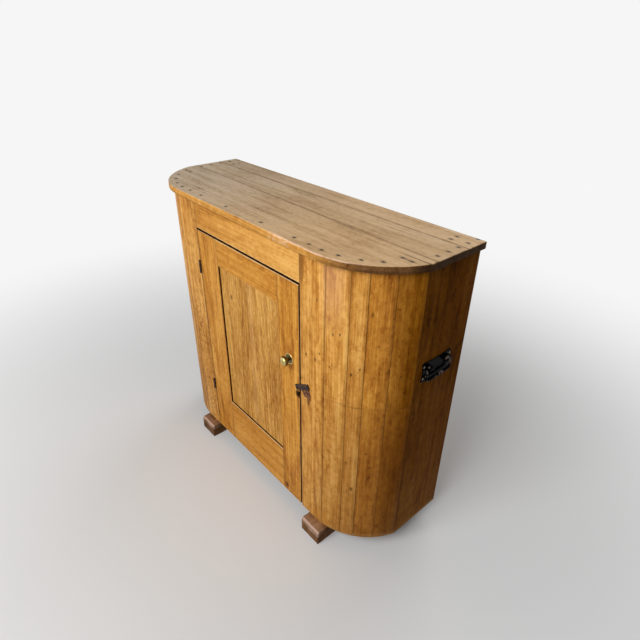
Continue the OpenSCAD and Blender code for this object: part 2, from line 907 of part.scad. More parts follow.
// The four screws of the right plate
module handle_screw_row(grow = 0) {
    reach_y = plate_w / 2 - ear_in_y;
    reach_z = plate_h / 2 - ear_in_z;
    for (end = [-1, 1], up = [-1, 1])
        translate([side_x + plate_t, handle_y + end * reach_y, handle_z + up * reach_z])
            rotate([0, 90, 0])
                if (grow > 0)
                    translate([0, 0, -screw_l - plate_t - grow])
                        cylinder(r = screw_r + grow, h = screw_l + plate_t + 2, $fn = 24);
                else
                    screw(button_r, button_t, screw_l + plate_t, screw_r);
}

module handle_screws_side(side, grow = 0) {
    on_side(side) handle_screw_row(grow);
}

module handle_screws() {
    color("#5a5a5c")
        for (side = [-1, 1]) handle_screws_side(side);
}

// Bail hanging from its lugs; its rod turns in above each arm
module bail(side) {
    end_l = lug_t + bail_gap + bail_r + bail_end_out;
    color("#101012") on_side(side) translate([side_x + plate_t + bail_out, handle_y, lug_z]) {
        for (end = [-1, 1]) {
            translate([0, end * arm_y, -bail_drop + bend_r])
                cylinder(r = bail_r, h = bail_drop - bend_r, $fn = 48);
            translate([0, end * arm_y, 0]) sphere(r = bail_r, $fn = 48);
            translate([0, end * arm_y, 0])
                rotate([end * 90, 0, 0]) cylinder(r = bail_end_r, h = end_l, $fn = 48);
            translate([0, end * (arm_y - bend_r), -bail_drop + bend_r]) rotate([0, 90, 0])
                rotate([0, 0, end < 0 ? -90 : 0])
                    rotate_extrude(angle = 90) translate([bend_r, 0]) circle(r = bail_r, $fn = 48);
        }
        translate([0, -arm_y + bend_r, -bail_drop])
            rotate([-90, 0, 0]) cylinder(r = bail_r, h = 2 * (arm_y - bend_r), $fn = 48);
        translate([0, -arm_y + 2 * bend_r, -bail_drop])
            rotate([-90, 0, 0]) cylinder(r = grip_r, h = 2 * (arm_y - 2 * bend_r), $fn = 48);
    }
}

top_board_back();
top_board_middle();
top_board_front();
frieze_rail();
front_board_left();
front_board_right();
stave(-1, 0);  // stave_left_1
stave(-1, 1);  // stave_left_2
stave(-1, 2);  // stave_left_3
stave(-1, 3);  // stave_left_4
stave(1, 0);  // stave_right_1
stave(1, 1);  // stave_right_2
stave(1, 2);  // stave_right_3
stave(1, 3);  // stave_right_4
side_board(-1);  // side_board_left
side_board(1);  // side_board_right
back_board(1);  // back_board_1
back_board(2);  // back_board_2
back_board(3);  // back_board_3
back_board(4);  // back_board_4
back_board(5);  // back_board_5
back_rail();
base_board(false);  // base_board_front
base_board(true);  // base_board_back
top_former(-1);  // top_former_left
top_former(1);  // top_former_right
shelf(0, false);  // lower_shelf_front
shelf(0, true);  // lower_shelf_back
shelf(1, false);  // upper_shelf_front
shelf(1, true);  // upper_shelf_back
shelf_cleats();
door_stop();
bearer_left();
bearer_right();
top_nails();
door_stile_left();
door_stile_right();
door_rail_top();
door_rail_bottom();
door_panel();
hinge_leaf(-1, hinge_zs[1]);  // hinge_upper_case_leaf
hinge_leaf(-1, hinge_zs[0]);  // hinge_lower_case_leaf
hinge_leaf(1, hinge_zs[1]);  // hinge_upper_door_leaf
hinge_leaf(1, hinge_zs[0]);  // hinge_lower_door_leaf
hinge_pins();
color("#4a4038") hinge_screws(-1);  // hinge_case_screws
color("#4a4038") hinge_screws(1);  // hinge_door_screws
knob();
knob_rose();
knob_nut();
latch_bar();
latch_screw();
latch_keeper();
keeper_nails();
handle_plate(-1);  // handle_plate_left
handle_plate(1);  // handle_plate_right
handle_screws();
bail(-1);  // bail_left
bail(1);  // bail_right
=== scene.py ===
"""Looks of the pine buffet cabinet: worn wood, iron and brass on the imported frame, a studio and a camera."""
import math
import random

import bmesh
import bpy
from mathutils import Matrix, Vector
from mathutils.geometry import delaunay_2d_cdt


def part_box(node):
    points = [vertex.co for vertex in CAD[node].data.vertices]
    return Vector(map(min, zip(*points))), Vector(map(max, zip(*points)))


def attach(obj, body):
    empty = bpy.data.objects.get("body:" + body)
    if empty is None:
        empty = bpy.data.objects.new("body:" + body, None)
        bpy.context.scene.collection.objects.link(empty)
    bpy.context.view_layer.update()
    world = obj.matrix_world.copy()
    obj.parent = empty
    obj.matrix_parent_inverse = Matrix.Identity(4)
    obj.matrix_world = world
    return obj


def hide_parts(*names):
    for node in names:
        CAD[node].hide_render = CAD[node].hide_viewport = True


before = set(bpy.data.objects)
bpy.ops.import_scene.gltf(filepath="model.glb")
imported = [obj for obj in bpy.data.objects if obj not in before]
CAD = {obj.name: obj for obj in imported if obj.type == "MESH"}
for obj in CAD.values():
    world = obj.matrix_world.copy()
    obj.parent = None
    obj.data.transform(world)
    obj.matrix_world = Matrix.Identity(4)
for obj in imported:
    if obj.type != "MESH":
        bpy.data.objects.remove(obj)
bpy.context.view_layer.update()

MM = 0.001

# The case, as in the frame: its flat front, its back, its sides and its heights
FRONT_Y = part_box("frieze_rail")[0].y
BACK_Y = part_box("top_board_back")[1].y
SIDE_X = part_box("side_board_right")[1].x
CASE_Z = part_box("side_board_right")[0].z
TOP_LOW, TOP_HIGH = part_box("top_board_front")
TOP_Z = TOP_HIGH.z
# The front's round corners, and the angles at which their boards meet
CORNER_R = 257 * MM
STAVE_ANGLES = [0, 9, 26, 37, 53, 71]
CORNER_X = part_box("front_board_right")[1].x - CORNER_R * math.sin(math.radians(STAVE_ANGLES[1]))
CORNER_Y = FRONT_Y + CORNER_R

# Where the Mix node keeps what is for colours
MIX_A, MIX_B, MIX_RESULT = 6, 7, 2


class Tree:
    """The nodes of a material or world. Most methods add one and return its output, for the next to use."""

    def __init__(self, owner):
        self.owner = owner
        owner.use_nodes = True
        self.nodes = owner.node_tree.nodes
        self.links = owner.node_tree.links
        self.nodes.clear()

    def feed(self, socket, value):
        if isinstance(value, bpy.types.NodeSocket):
            self.links.new(value, socket)
        elif value is not None:
            socket.default_value = value

    def node(self, kind, values, **settings):
        node = self.nodes.new(kind)
        for key, value in settings.items():
            setattr(node, key, value)
        for key, value in values.items():
            self.feed(node.inputs[key], value)
        return node

    def math(self, operation, a, b=None):
        return self.node("ShaderNodeMath", {0: a, 1: b}, operation=operation).outputs[0]

    def add(self, a, b):
        return self.math("ADD", a, b)

    def times(self, a, b):
        return self.math("MULTIPLY", a, b)

    def less(self, a, b):
        return self.math("SUBTRACT", a, b)

    def apart(self, a, b):
        return self.math("ABSOLUTE", self.less(a, b))

    def length(self, *parts):
        spot = self.combine(*parts)
        return self.node("ShaderNodeVectorMath", {0: spot}, operation="LENGTH").outputs["Value"]

    def combine(self, *parts):
        return self.node("ShaderNodeCombineXYZ", dict(enumerate(parts))).outputs[0]

    def spot(self):
        """The point, in the row frame's coordinates."""
        return self.node("ShaderNodeTexCoord", {}).outputs["Object"]

    def place(self):
        """The same as three numbers."""
        return self.node("ShaderNodeSeparateXYZ", {0: self.spot()}).outputs

    def noise(self, spot, scale, detail=2.0, roughness=0.5):
        values = {"Vector": spot, "Scale": scale, "Detail": detail, "Roughness": roughness}
        return self.node("ShaderNodeTexNoise", values).outputs["Fac"]

    def cloud(self, pair, waves, detail=2.0, roughness=0.5, layer=0.0):
        """Noise over two numbers, with so many waves per metre along each. Each layer is another noise."""
        first, second = (self.times(part, count) for part, count in zip(pair, waves))
        return self.noise(self.combine(first, layer, second), 1.0, detail, roughness)

    def remap(self, value, low, high, to_low=0.0, to_high=1.0, smooth=True):
        values = {"Value": value, "From Min": low, "From Max": high, "To Min": to_low, "To Max": to_high}
        kind = "SMOOTHSTEP" if smooth else "LINEAR"
        return self.node("ShaderNodeMapRange", values, interpolation_type=kind).outputs["Result"]

    def ramp(self, value, stops):
        node = self.node("ShaderNodeValToRGB", {0: value})
        points = node.color_ramp.elements
        while len(points) < len(stops):
            points.new(1.0)
        for point, (position, color) in zip(points, stops):
            point.position = position
            point.color = (*color, 1.0)
        return node.outputs["Color"]

    def mix(self, share, a, b, blend="MIX"):
        node = self.node("ShaderNodeMix", {}, data_type="RGBA", blend_type=blend)
        self.feed(node.inputs[0], share)
        self.feed(node.inputs[MIX_A], (*a, 1.0) if isinstance(a, tuple) else a)
        self.feed(node.inputs[MIX_B], (*b, 1.0) if isinstance(b, tuple) else b)
        return node.outputs[MIX_RESULT]

    def shade(self, color, rough, height, depth, **values):
        """Ends a material in one surface. Its height is 0 to 1 and rises by depth, in metres."""
        shader = self.node("ShaderNodeBsdfPrincipled", {"Base Color": color, "Roughness": rough})
        for key, value in values.items():
            self.feed(shader.inputs[key.replace("_", " ")], value)
        bump = self.node("ShaderNodeBump", {"Height": height, "Distance": depth, "Strength": 1.0})
        self.feed(shader.inputs["Normal"], bump.outputs[0])
        self.node("ShaderNodeOutputMaterial", {"Surface": shader.outputs[0]})
        return self.owner

    def seen(self):
        """1 where the camera sees this itself or through a mirror or glass, and 0 where it only lights."""
        path = self.node("ShaderNodeLightPath", {}).outputs
        mirrored = self.math("MAXIMUM", path["Is Camera Ray"], path["Is Glossy Ray"])
        return self.math("MAXIMUM", mirrored, path["Is Transmission Ray"])


# Colours of old pine, from its palest to its darkest fibres, and how dark it is at each
HONEY = [(0.90, 0.49, 0.130), (0.66, 0.295, 0.055), (0.38, 0.140, 0.020), (0.13, 0.038, 0.006)]
AMBER = [(0.82, 0.41, 0.075), (0.58, 0.235, 0.034), (0.32, 0.108, 0.013), (0.11, 0.032, 0.005)]
# SHADED is pine painted darker, as painted shade, for the last stave and the side boards that face away from
# the light
SHADED = [(0.41, 0.155, 0.012), (0.245, 0.081, 0.004), (0.125, 0.036, 0.002), (0.045, 0.012, 0.001)]
PANEL = [(0.82, 0.45, 0.112), (0.58, 0.265, 0.050), (0.33, 0.125, 0.020), (0.12, 0.036, 0.007)]
GREYED = [(0.83, 0.600, 0.395), (0.69, 0.478, 0.295), (0.465, 0.292, 0.156), (0.18, 0.096, 0.044)]
GREYED_WARM = [(0.88, 0.625, 0.395), (0.74, 0.50, 0.292), (0.50, 0.300, 0.155), (0.20, 0.098, 0.043)]
INSIDE = [(0.66, 0.45, 0.240), (0.53, 0.335, 0.160), (0.38, 0.215, 0.090), (0.22, 0.110, 0.042)]
BEARER = [(0.34, 0.175, 0.075), (0.21, 0.098, 0.035), (0.115, 0.046, 0.014), (0.05, 0.018, 0.005)]
DARKNESS = [0.0, 0.34, 0.68, 1.0]
# Single colours over all wood
KNOT = (0.10, 0.030, 0.008)
GRIME = (0.070, 0.026, 0.008)
WORN_AND_HIGHLIT = (0.95, 0.66, 0.36)
SEAM = (0.10, 0.034, 0.009)
PIN_HOLE = (0.045, 0.013, 0.004)
GAP_SHADE = (0.018, 0.007, 0.003)
# Over the case's boards
DAPPLE = (0.62, 0.47, 0.36)
DAMP = (0.26, 0.085, 0.014)
TIDE_RIM = (0.16, 0.05, 0.009)
PAINTED_SHEEN = (0.88, 0.52, 0.31)
BARE_FOOT = (0.60, 0.30, 0.09)
BLOTCH = (0.17, 0.056, 0.014)
BLOTCH_BETWEEN = (0.90, 0.52, 0.24)
SOAKED_DIRT = (0.17, 0.056, 0.012)
RUST_RUN = (0.13, 0.036, 0.011)
NOSE_TOP = (0.46, 0.29, 0.19)
NOSE_RIDGE_HIGHLIGHT = (0.80, 0.55, 0.46)
# Over the door's
NOTCH_SHADE = (0.035, 0.014, 0.008)
PALE_STROKE = (0.88, 0.54, 0.20)
DARK_STROKE = (0.24, 0.088, 0.020)
PANEL_BAND = (0.92, 0.57, 0.25)
# Over the top's
JOINT_DIRT = (0.20, 0.11, 0.055)
JOINT_DEPTH = (0.050, 0.028, 0.015)
CRACK = (0.05, 0.026, 0.013)
HAIR_CRACK = (0.11, 0.060, 0.030)
NAIL_STAIN = (0.10, 0.055, 0.030)
NAIL_HEAD = (0.014, 0.010, 0.009)
END_RIM_SHADE = (0.026, 0.012, 0.005)
RUBBED_RIM_HIGHLIGHT = (0.95, 0.66, 0.50)
FRESH_CHIP = (0.90, 0.60, 0.36)
# Over the metals
BRASS_DIRT = (0.085, 0.060, 0.016)
HANDLED_IRON_HIGHLIGHT = (0.30, 0.215, 0.175)

# Height of the line below which the wood was damp once, and the middle of the painted sheen on a corner
TIDE_Z = 0.660
PAINTED_SHEEN_X = CORNER_X + CORNER_R * math.sin(math.radians(14))
# The middle of the panel's paler band
BAND_X = 30 * MM
# How near an edge's points are welded, from which angle an edge is softened, and up to which it is no edge
WELD, SHARP, SMOOTH = 0.01 * MM, math.radians(40), math.radians(5)


def pine(tree, dark, colors):
    """A palette's colour where the wood is so dark."""
    return tree.ramp(dark, list(zip(DARKNESS, colors)))


def around(angle):
    """Length round the corner up to an angle."""
    return math.radians(angle) * CORNER_R


def flat_space(tree, order):
    """Across the grain, into the wood and along the grain, for a board that lies straight."""
    spot = tree.place()
    return [spot["XYZ".index(axis)] for axis in order]


def corner_space(tree, side):
    """The same for a board of the front, measured round the corner of that side."""
    x, y, z = tree.place()
    out = tree.less(tree.times(x, side), CORNER_X)
    bent = tree.math("MAXIMUM", out, 0.0)
    ahead = tree.less(CORNER_Y, y)
    angle = tree.math("ARCTAN2", bent, ahead)
    across = tree.add(tree.math("MINIMUM", out, 0.0), tree.times(angle, CORNER_R))
    depth = tree.less(tree.length(bent, ahead, 0.0), CORNER_R)
    return [across, depth, z]


def spots(tree, across, along, places, stretch):
    """Distance from the nearest place, 0 in its middle and 1 at its radius, stretched along the grain."""
    nearest = None
    for place_across, place_along, radius in places:
        far = tree.length(tree.times(tree.less(across, place_across), 1 / radius),
                          tree.times(tree.less(along, place_along), 1 / (radius * stretch)), 0.0)
        nearest = far if nearest is None else tree.math("MINIMUM", nearest, far)
    return nearest


def wood(name, space, seed, colors, heart=(0.0, -0.15), pitch=0.011, lean=0.04, contrast=1.0, darker=0.0,
         drift=(0.0, 0.0), knots=(), pins=(), edges=None, grime=0.5, rough=0.52, gloss=0.05, front=None,
         patchy=0.65, sides=(0.0, 0.0, 0.0, 0.0), relief=0.0004, extra=None):
    """Sawn pine: rings cut by the board's face, streaks and fibres along the grain, knots and worn edges.

    Heart is the middle of the trunk, across and into the board, which leans away along it, and pitch is a
    ring's width. Drift darkens the board's low and high end. Knots and pins are places with their radius.
    Front is the depth of the board's face, and extra adds what only this board has."""
    tree = Tree(bpy.data.materials.new(name))
    across, depth, along = space(tree)
    draw = random.Random(seed)
    a, d, g = (tree.add(value, draw.uniform(-3, 3)) for value in (across, depth, along))

    def grain(per_across, per_depth, per_along, detail=3.0, roughness=0.6):
        """Noise from -0.5 to 0.5, with so many waves per metre across, into and along the board."""
        spot = tree.combine(tree.times(a, per_across), tree.times(d, per_depth), tree.times(g, per_along))
        return tree.less(tree.noise(spot, 1.0, detail, roughness), 0.5)

    # Rings: distance from the heart of the trunk, pushed aside by knots, and the dark late wood of each
    sway = grain(5.0, 1.0, 1.6, 2.0, 0.5)
    quiver = grain(35.0, 6.0, 4.0, 3.0)
    from_heart = tree.add(tree.less(across, heart[0]), tree.times(sway, 0.06))
    below = tree.add(tree.less(depth, heart[1]), tree.times(tree.less(along, 0.5), lean))
    ring = tree.add(tree.length(from_heart, below, 0.0), tree.times(quiver, 0.010))
    if knots:
        near_knot = spots(tree, across, along, knots, 1.5)
        ring = tree.add(ring, tree.remap(near_knot, 0.8, 5.0, 0.016, 0.0))
    turn = tree.math("FRACT", tree.times(ring, 1 / pitch))
    late = tree.remap(tree.apart(turn, 0.72), 0.30, 0.0)

    # Darkness: broad patches, streaks of all widths, rings, fibres and faint stains across the grain
    streaks = grain(42.0, 14.0, 0.9, 4.0, 0.65)
    threads = grain(170.0, 60.0, 3.2, 3.0, 0.6)
    fibres = grain(480.0, 150.0, 9.0, 2.0)
    patches = grain(5.0, 2.0, 2.2, 3.0, 0.55)
    mottle = grain(75.0, 20.0, 48.0, 4.0, 0.7)
    smears = grain(11.0, 3.0, 70.0, 3.0)
    flecks = grain(200.0, 60.0, 22.0, 3.0, 0.6)
    dark = tree.add(tree.times(streaks, 1.1 * contrast), tree.times(patches, patchy))
    dark = tree.add(dark, tree.times(threads, 1.0 * contrast))
    dark = tree.add(dark, tree.times(fibres, 0.55 * contrast))
    dark = tree.add(dark, tree.times(mottle, 0.70))
    stains = tree.add(grain(22.0, 5.0, 15.0, 4.0, 0.65), tree.times(mottle, 0.35))
    dark = tree.add(dark, tree.remap(stains, 0.09, 0.24, 0.0, 0.30 * patchy))
    dark = tree.add(dark, tree.times(tree.less(late, 0.4), 0.17 * contrast))
    dark = tree.add(dark, tree.remap(smears, 0.12, 0.30, 0.0, 0.16))
    dark = tree.add(dark, tree.remap(flecks, 0.12, 0.26, 0.0, 0.50 * contrast))
    dark = tree.add(dark, 0.36 + darker)
    if drift != (0.0, 0.0):
        dark = tree.add(dark, tree.remap(along, *edges[1], *drift, smooth=False))
    color = pine(tree, dark, colors)

    if knots:
        color = tree.mix(tree.remap(near_knot, 3.0, 0.9, 0.0, 0.5), color, colors[2])
        core = tree.add(near_knot, tree.times(quiver, 0.5))
        color = tree.mix(tree.remap(core, 1.1, 0.8, 0.0, 0.9), color, KNOT)
    if pins:
        near_pin = tree.add(spots(tree, across, along, pins, 1.9), tree.times(mottle, 1.6))
        stain = tree.add(near_pin, tree.times(flecks, 3.0))
        color = tree.mix(tree.remap(stain, 2.4, 0.8, 0.0, 0.4), color, GRIME)
        color = tree.mix(tree.remap(near_pin, 1.05, 0.45, 0.0, 0.9), color, PIN_HOLE)
    if edges:
        broken = grain(45.0, 45.0, 20.0)
        color = board_edges(tree, color, (across, depth, along), broken, edges, front, grime, sides)
    if extra:
        color = extra(tree, color, across, depth, along, dark)

    matt = tree.remap(tree.add(streaks, patches), -0.2, 0.2, rough - 0.08, rough + 0.1)
    height = tree.add(tree.add(tree.times(late, 0.4), mottle), tree.add(tree.times(fibres, 0.8), threads))
    return tree.shade(color, matt, height, relief, Specular_IOR_Level=gloss)


def board_edges(tree, color, spot, broken, edges, front, grime, sides):
    """A board is darker near its edges, painted shade darkens the gaps behind its face, and its arrises are
    rubbed or dirty.

    Sides says how far the board's low and high edges, across and then along the grain, are rubbed pale, or
    with a minus how far they are dirty. A pale arris on the door's top edges is also a painted highlight."""
    across, depth, along = spot
    reaches = [tree.less(across, edges[0][0]), tree.less(edges[0][1], across),
               tree.less(along, edges[1][0]), tree.less(edges[1][1], along)]
    gap = tree.math("MINIMUM", tree.math("MINIMUM", *reaches[:2]), tree.math("MINIMUM", *reaches[2:]))
    ragged = tree.add(gap, tree.times(broken, 0.02))
    color = tree.mix(tree.remap(ragged, 12 * MM, 0.0, 0.0, 0.5 * grime), color, GRIME)
    if front is None:
        return color
    # Painted shade: the faces in the gaps behind the board's face are darkened nearly to black
    behind = tree.apart(depth, front)
    sunk = tree.times(tree.remap(behind, 1.0 * MM, 3.0 * MM), tree.remap(behind, 14 * MM, 9 * MM, 0.35, 0.97))
    color = tree.mix(tree.times(sunk, tree.remap(gap, 1.2 * MM, 0.6 * MM)), color, GAP_SHADE)
    face = tree.remap(behind, 2.2 * MM, 1.2 * MM)
    # Rubbed arrises are pale, and on the door's top edges the pale arris is also a painted highlight
    for reach, share in zip(reaches, sides):
        arris = tree.add(reach, tree.times(broken, 0.005))
        if share > 0:
            rubbed = tree.remap(arris, 2.4 * MM, 1.0 * MM, 0.0, share)
            color = tree.mix(tree.times(rubbed, face), color, WORN_AND_HIGHLIT)
        elif share < 0:
            dirty = tree.remap(arris, 2.2 * MM, 0.4 * MM, 0.0, -share)
            color = tree.mix(tree.times(dirty, face), color, SEAM)
    return color


def dress(node, material):
    """Gives a CAD node one material."""
    mesh = CAD[node].data
    mesh.materials.clear()
    mesh.materials.append(material)


def soften(node, width, segments=2):
    """Rounds a CAD node's edges a little."""
    piece = CAD[node]
    weld = piece.modifiers.new("weld", "WELD")
    weld.merge_threshold = WELD
    bevel = piece.modifiers.new("bevel", "BEVEL")
    bevel.width = width
    bevel.segments = segments
    bevel.limit_method = "ANGLE"
    bevel.angle_limit = SHARP


def edges_of(node, order):
    """The board's edges, across and along its grain."""
    low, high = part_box(node)
    across, along = "XYZ".index(order[0]), "XYZ".index(order[2])
    return (low[across], high[across]), (low[along], high[along])


def board(node, order, seed, colors, **settings):
    """Dresses a straight board, with the axes across its grain, into it and along its grain in order."""
    settings.setdefault("edges", edges_of(node, order))
    dress(node, wood(node + "_pine", lambda tree: flat_space(tree, order), seed, colors, **settings))


# Old nail marks on the front and right corner: length round the corner and height in m, radius in mm
MARKS_RIGHT = [
    (around(2), 0.973, 2.2), (around(15.3), 0.884, 2.0), (around(20.2), 0.891, 1.8),
    (0.3285 - CORNER_X, 0.767, 3.0), (around(0.6), 0.769, 3.2), (around(4.7), 0.799, 1.8),
    (around(13.3), 0.770, 1.8), (around(28.7), 0.766, 3.0), (around(34.3), 0.790, 1.8),
    (around(39.8), 0.972, 2.0), (around(44.8), 0.873, 1.8), (around(60.6), 0.769, 2.4),
    (around(54.1), 0.665, 4.6), (around(28.4), 0.413, 2.2), (around(42.2), 0.469, 2.2),
    (around(45.5), 0.408, 1.8), (around(33.3), 0.298, 4.0), (around(57.0), 0.213, 3.0)]


def marks_between(low, high):
    return [(place, height, radius * MM) for place, height, radius in MARKS_RIGHT if low <= place < high]


# Extras, which add what only some boards have. All are called in the same way by wood()
def rim_and_tide(tree, color, across, depth, along, dark):
    """The lower end is rubbed pale, and below a tide line, clearest round the corner, the wood has darkened.

    Reddish dapples lie all over it, and a painted sheen, a pale reflection, lies on the corner near the top."""
    dapple = tree.cloud((across, along), (40.0, 20.0), 5.0, 0.72)
    tint = tree.mix(tree.remap(dapple, 0.48, 0.68, 0.0, 0.75), (1.0, 1.0, 1.0), DAPPLE)
    color = tree.mix(1.0, color, tint, "MULTIPLY")
    wave = tree.cloud((across, along), (12.0, 0.0))
    line = tree.add(along, tree.times(wave, 0.02))
    clear = tree.remap(across, around(4), around(24))
    stained = tree.times(tree.remap(line, TIDE_Z + 4 * MM, TIDE_Z - 4 * MM, 0.0, 0.16), clear)
    color = tree.mix(tree.add(stained, tree.remap(line, 0.70, 0.55, 0.0, 0.10)), color, DAMP)
    rim = tree.times(tree.remap(tree.apart(line, TIDE_Z), 5 * MM, 0.0, 0.0, 0.42), clear)
    color = tree.mix(tree.times(rim, tree.remap(wave, 0.35, 0.6)), color, TIDE_RIM)
    # A painted sheen: a pale pinkish reflection near the top of the first stave
    from_middle = tree.apart(tree.place()[0], PAINTED_SHEEN_X)
    sheen = tree.remap(from_middle, around(12), around(3), 0.0, 0.22)
    color = tree.mix(tree.times(tree.remap(along, 0.84, 1.03), sheen), color, PAINTED_SHEEN)
    return tree.mix(tree.remap(line, CASE_Z + 34 * MM, CASE_Z + 18 * MM, 0.0, 0.35), color, BARE_FOOT)


def turning(tree, color, across, depth, along, dark):
    """Towards the front, the last stave's painted shade fades, until it is nearly as pale as the one before
    it.
    """
    amber = pine(tree, tree.add(dark, 0.05), AMBER)
    low, high = around(STAVE_ANGLES[4]), around(66)
    color = tree.mix(tree.remap(across, high, low, 0.0, 0.45), color, amber)
    return rim_and_tide(tree, color, across, depth, along, dark)


def mottled(tree, color, across, depth, along, dark):
    """Small dark blotches, denser towards the floor, with paler wood between them."""
    blotches = tree.cloud((across, along), (130.0, 60.0), 4.0, 0.7)
    clusters = tree.cloud((across, along), (20.0, 9.0), layer=4.0)
    share = tree.times(tree.remap(blotches, 0.50, 0.64), tree.remap(along, 0.95, 0.45, 0.15, 0.90))
    color = tree.mix(tree.times(share, tree.remap(clusters, 0.35, 0.60, 0.25, 1.0)), color, BLOTCH)
    pale = tree.times(tree.remap(blotches, 0.47, 0.36), tree.remap(along, 0.80, 0.30, 0.0, 0.25))
    return rim_and_tide(tree, tree.mix(pale, color, BLOTCH_BETWEEN), across, depth, along, dark)


def rust_stain(tree, color, across, depth, along, dark):
    """Rust has run down from the latch's keeper, and dirt has soaked in beside the frieze's end."""
    frieze_end = (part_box("frieze_rail")[1].x + 6 * MM - CORNER_X, 1.050, 15 * MM)
    ragged = tree.cloud((across, along), (90.0, 110.0), 4.0, 0.7)
    soaked = tree.add(spots(tree, across, along, [frieze_end], 3.5), tree.times(tree.less(ragged, 0.5), 3.2))
    color = tree.mix(tree.remap(soaked, 1.4, 0.4, 0.0, 0.55), color, SOAKED_DIRT)
    low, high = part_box("latch_keeper")
    foot = (low.x + 0.75 * (high.x - low.x) - CORNER_X, low.z - 4 * MM, 9 * MM)
    near = tree.add(spots(tree, across, along, [foot], 3.2), tree.times(tree.less(dark, 0.4), 0.8))
    color = tree.mix(tree.remap(near, 1.1, 0.4, 0.0, 0.8), color, RUST_RUN)
    return rim_and_tide(tree, color, across, depth, along, dark)


# Each stave, from the front on: palette, contrast, how much darker, gloss and patchiness. Further round the
# corner the staves are painted darker, as painted shade.
STAVES = [(HONEY, 0.85, -0.04, 0.05, 0.65), (HONEY, 0.8, 0.02, 0.05, 0.8), (AMBER, 0.65, 0.08, 0.03, 1.0),
          (SHADED, 0.6, -0.03, 0.02, 1.0)]
FRONT_ROUGH = 0.44


def front_board(name, side):
    low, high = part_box("front_board_" + name)
    joint = around(STAVE_ANGLES[1])
    edges = (min(abs(low.x), abs(high.x)) - CORNER_X, joint), (CASE_Z, TOP_Z)
    own = (dict(darker=0.02, pins=marks_between(-1, joint), extra=rust_stain) if side > 0 else
           dict(darker=-0.04, knots=((0.3485 - CORNER_X, 0.55, 4 * MM),), extra=mottled))
    dress("front_board_" + name, wood(
        "front_pine_" + name, lambda tree: corner_space(tree, side), 20 + side, HONEY, heart=(-0.03, -0.16),
        contrast=0.85, edges=edges, rough=FRONT_ROUGH, front=0.0, sides=(0.15 * side, -0.3, 0.3, 0.0), **own))


def stave(name, side, index):
    low, high = around(STAVE_ANGLES[index]), around(STAVE_ANGLES[index + 1])
    colors, contrast, darker, gloss, patchy = STAVES[index - 1]
    dress(f"stave_{name}_{index}", wood(
        f"stave_pine_{name}_{index}", lambda tree: corner_space(tree, side), 30 + index * 3 + side, colors,
        heart=(low, -0.18 - 0.02 * index), lean=0.03, pins=marks_between(low, high) if side > 0 else (),
        contrast=contrast, darker=darker, gloss=gloss, patchy=patchy, edges=((low, high), (CASE_Z, TOP_Z)),
        rough=FRONT_ROUGH, front=0.0, grime=0.35, sides=(-0.2, -0.2, 0.3, 0.0),
        extra=turning if index == len(STAVES) else rim_and_tide))


def front_wood():
    # The frieze is painted darker at its left end and paler at its right, as a painted fall-off of light
    board("frieze_rail", "ZYX", 11, HONEY, heart=(1.02, 0.05), lean=0.02, contrast=0.5, darker=-0.05,
          drift=(0.15, -0.20), grime=0.1, patchy=0.45, rough=FRONT_ROUGH, front=FRONT_Y,
          sides=(0.4, 0.0, -0.6, -0.6))
    for name, side in (("left", -1), ("right", 1)):
        front_board(name, side)
        for index in range(1, len(STAVES) + 1):
            stave(name, side, index)
        board("side_board_" + name, "YXZ", 50 + side, SHADED, heart=(0.10, 0.78 * side), pitch=0.013,
              lean=0.03, contrast=0.6, patchy=1.1, rough=FRONT_ROUGH, gloss=0.01,
              knots=((0.165, 0.52, 7 * MM), (0.05, 0.30, 5 * MM), (0.12, 0.98, 5 * MM)),
              edges=((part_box("side_board_right")[0].y, BACK_Y + 20 * MM), (CASE_Z, TOP_Z)),
              front=SIDE_X * side, sides=(-0.4, 0.0, 0.3, 0.0), extra=rim_and_tide)


def notch_shade(tree, color, across, depth, along, dark):
    """The notch in the door's edge, below the latch's pivot, is painted nearly black, as painted shade in its
    recess.
    """
    low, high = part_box("latch_screw")
    notch = (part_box("door_stile_right")[1].x - 6 * MM, (low.z + high.z) / 2 - 33 * MM, 13 * MM)
    near = tree.add(spots(tree, across, along, [notch], 1.4), tree.times(tree.less(dark, 0.4), 0.6))
    return tree.mix(tree.remap(near, 1.0, 0.6, 0.0, 0.9), color, NOTCH_SHADE)


def figured(tree, color, across, depth, along, dark):
    """The panel's soft wood has worn away between its fibres: short pale and dark strokes along the grain.

    A band right of its middle is paler."""
    bend = tree.cloud((across, along), (14.0, 9.0))
    bent = tree.add(tree.times(across, 210.0), tree.times(bend, 9.0))
    strokes = tree.cloud((bent, along), (1.0, 16.0), 4.0, 0.6)
    color = tree.mix(tree.remap(strokes, 0.52, 0.64, 0.0, 0.42), color, PALE_STROKE)
    color = tree.mix(tree.remap(strokes, 0.46, 0.34, 0.0, 0.55), color, DARK_STROKE)
    from_band = tree.apart(tree.add(across, tree.times(bend, 0.02)), BAND_X)
    return tree.mix(tree.times(tree.remap(from_band, 26 * MM, 4 * MM), 0.14), color, PANEL_BAND)


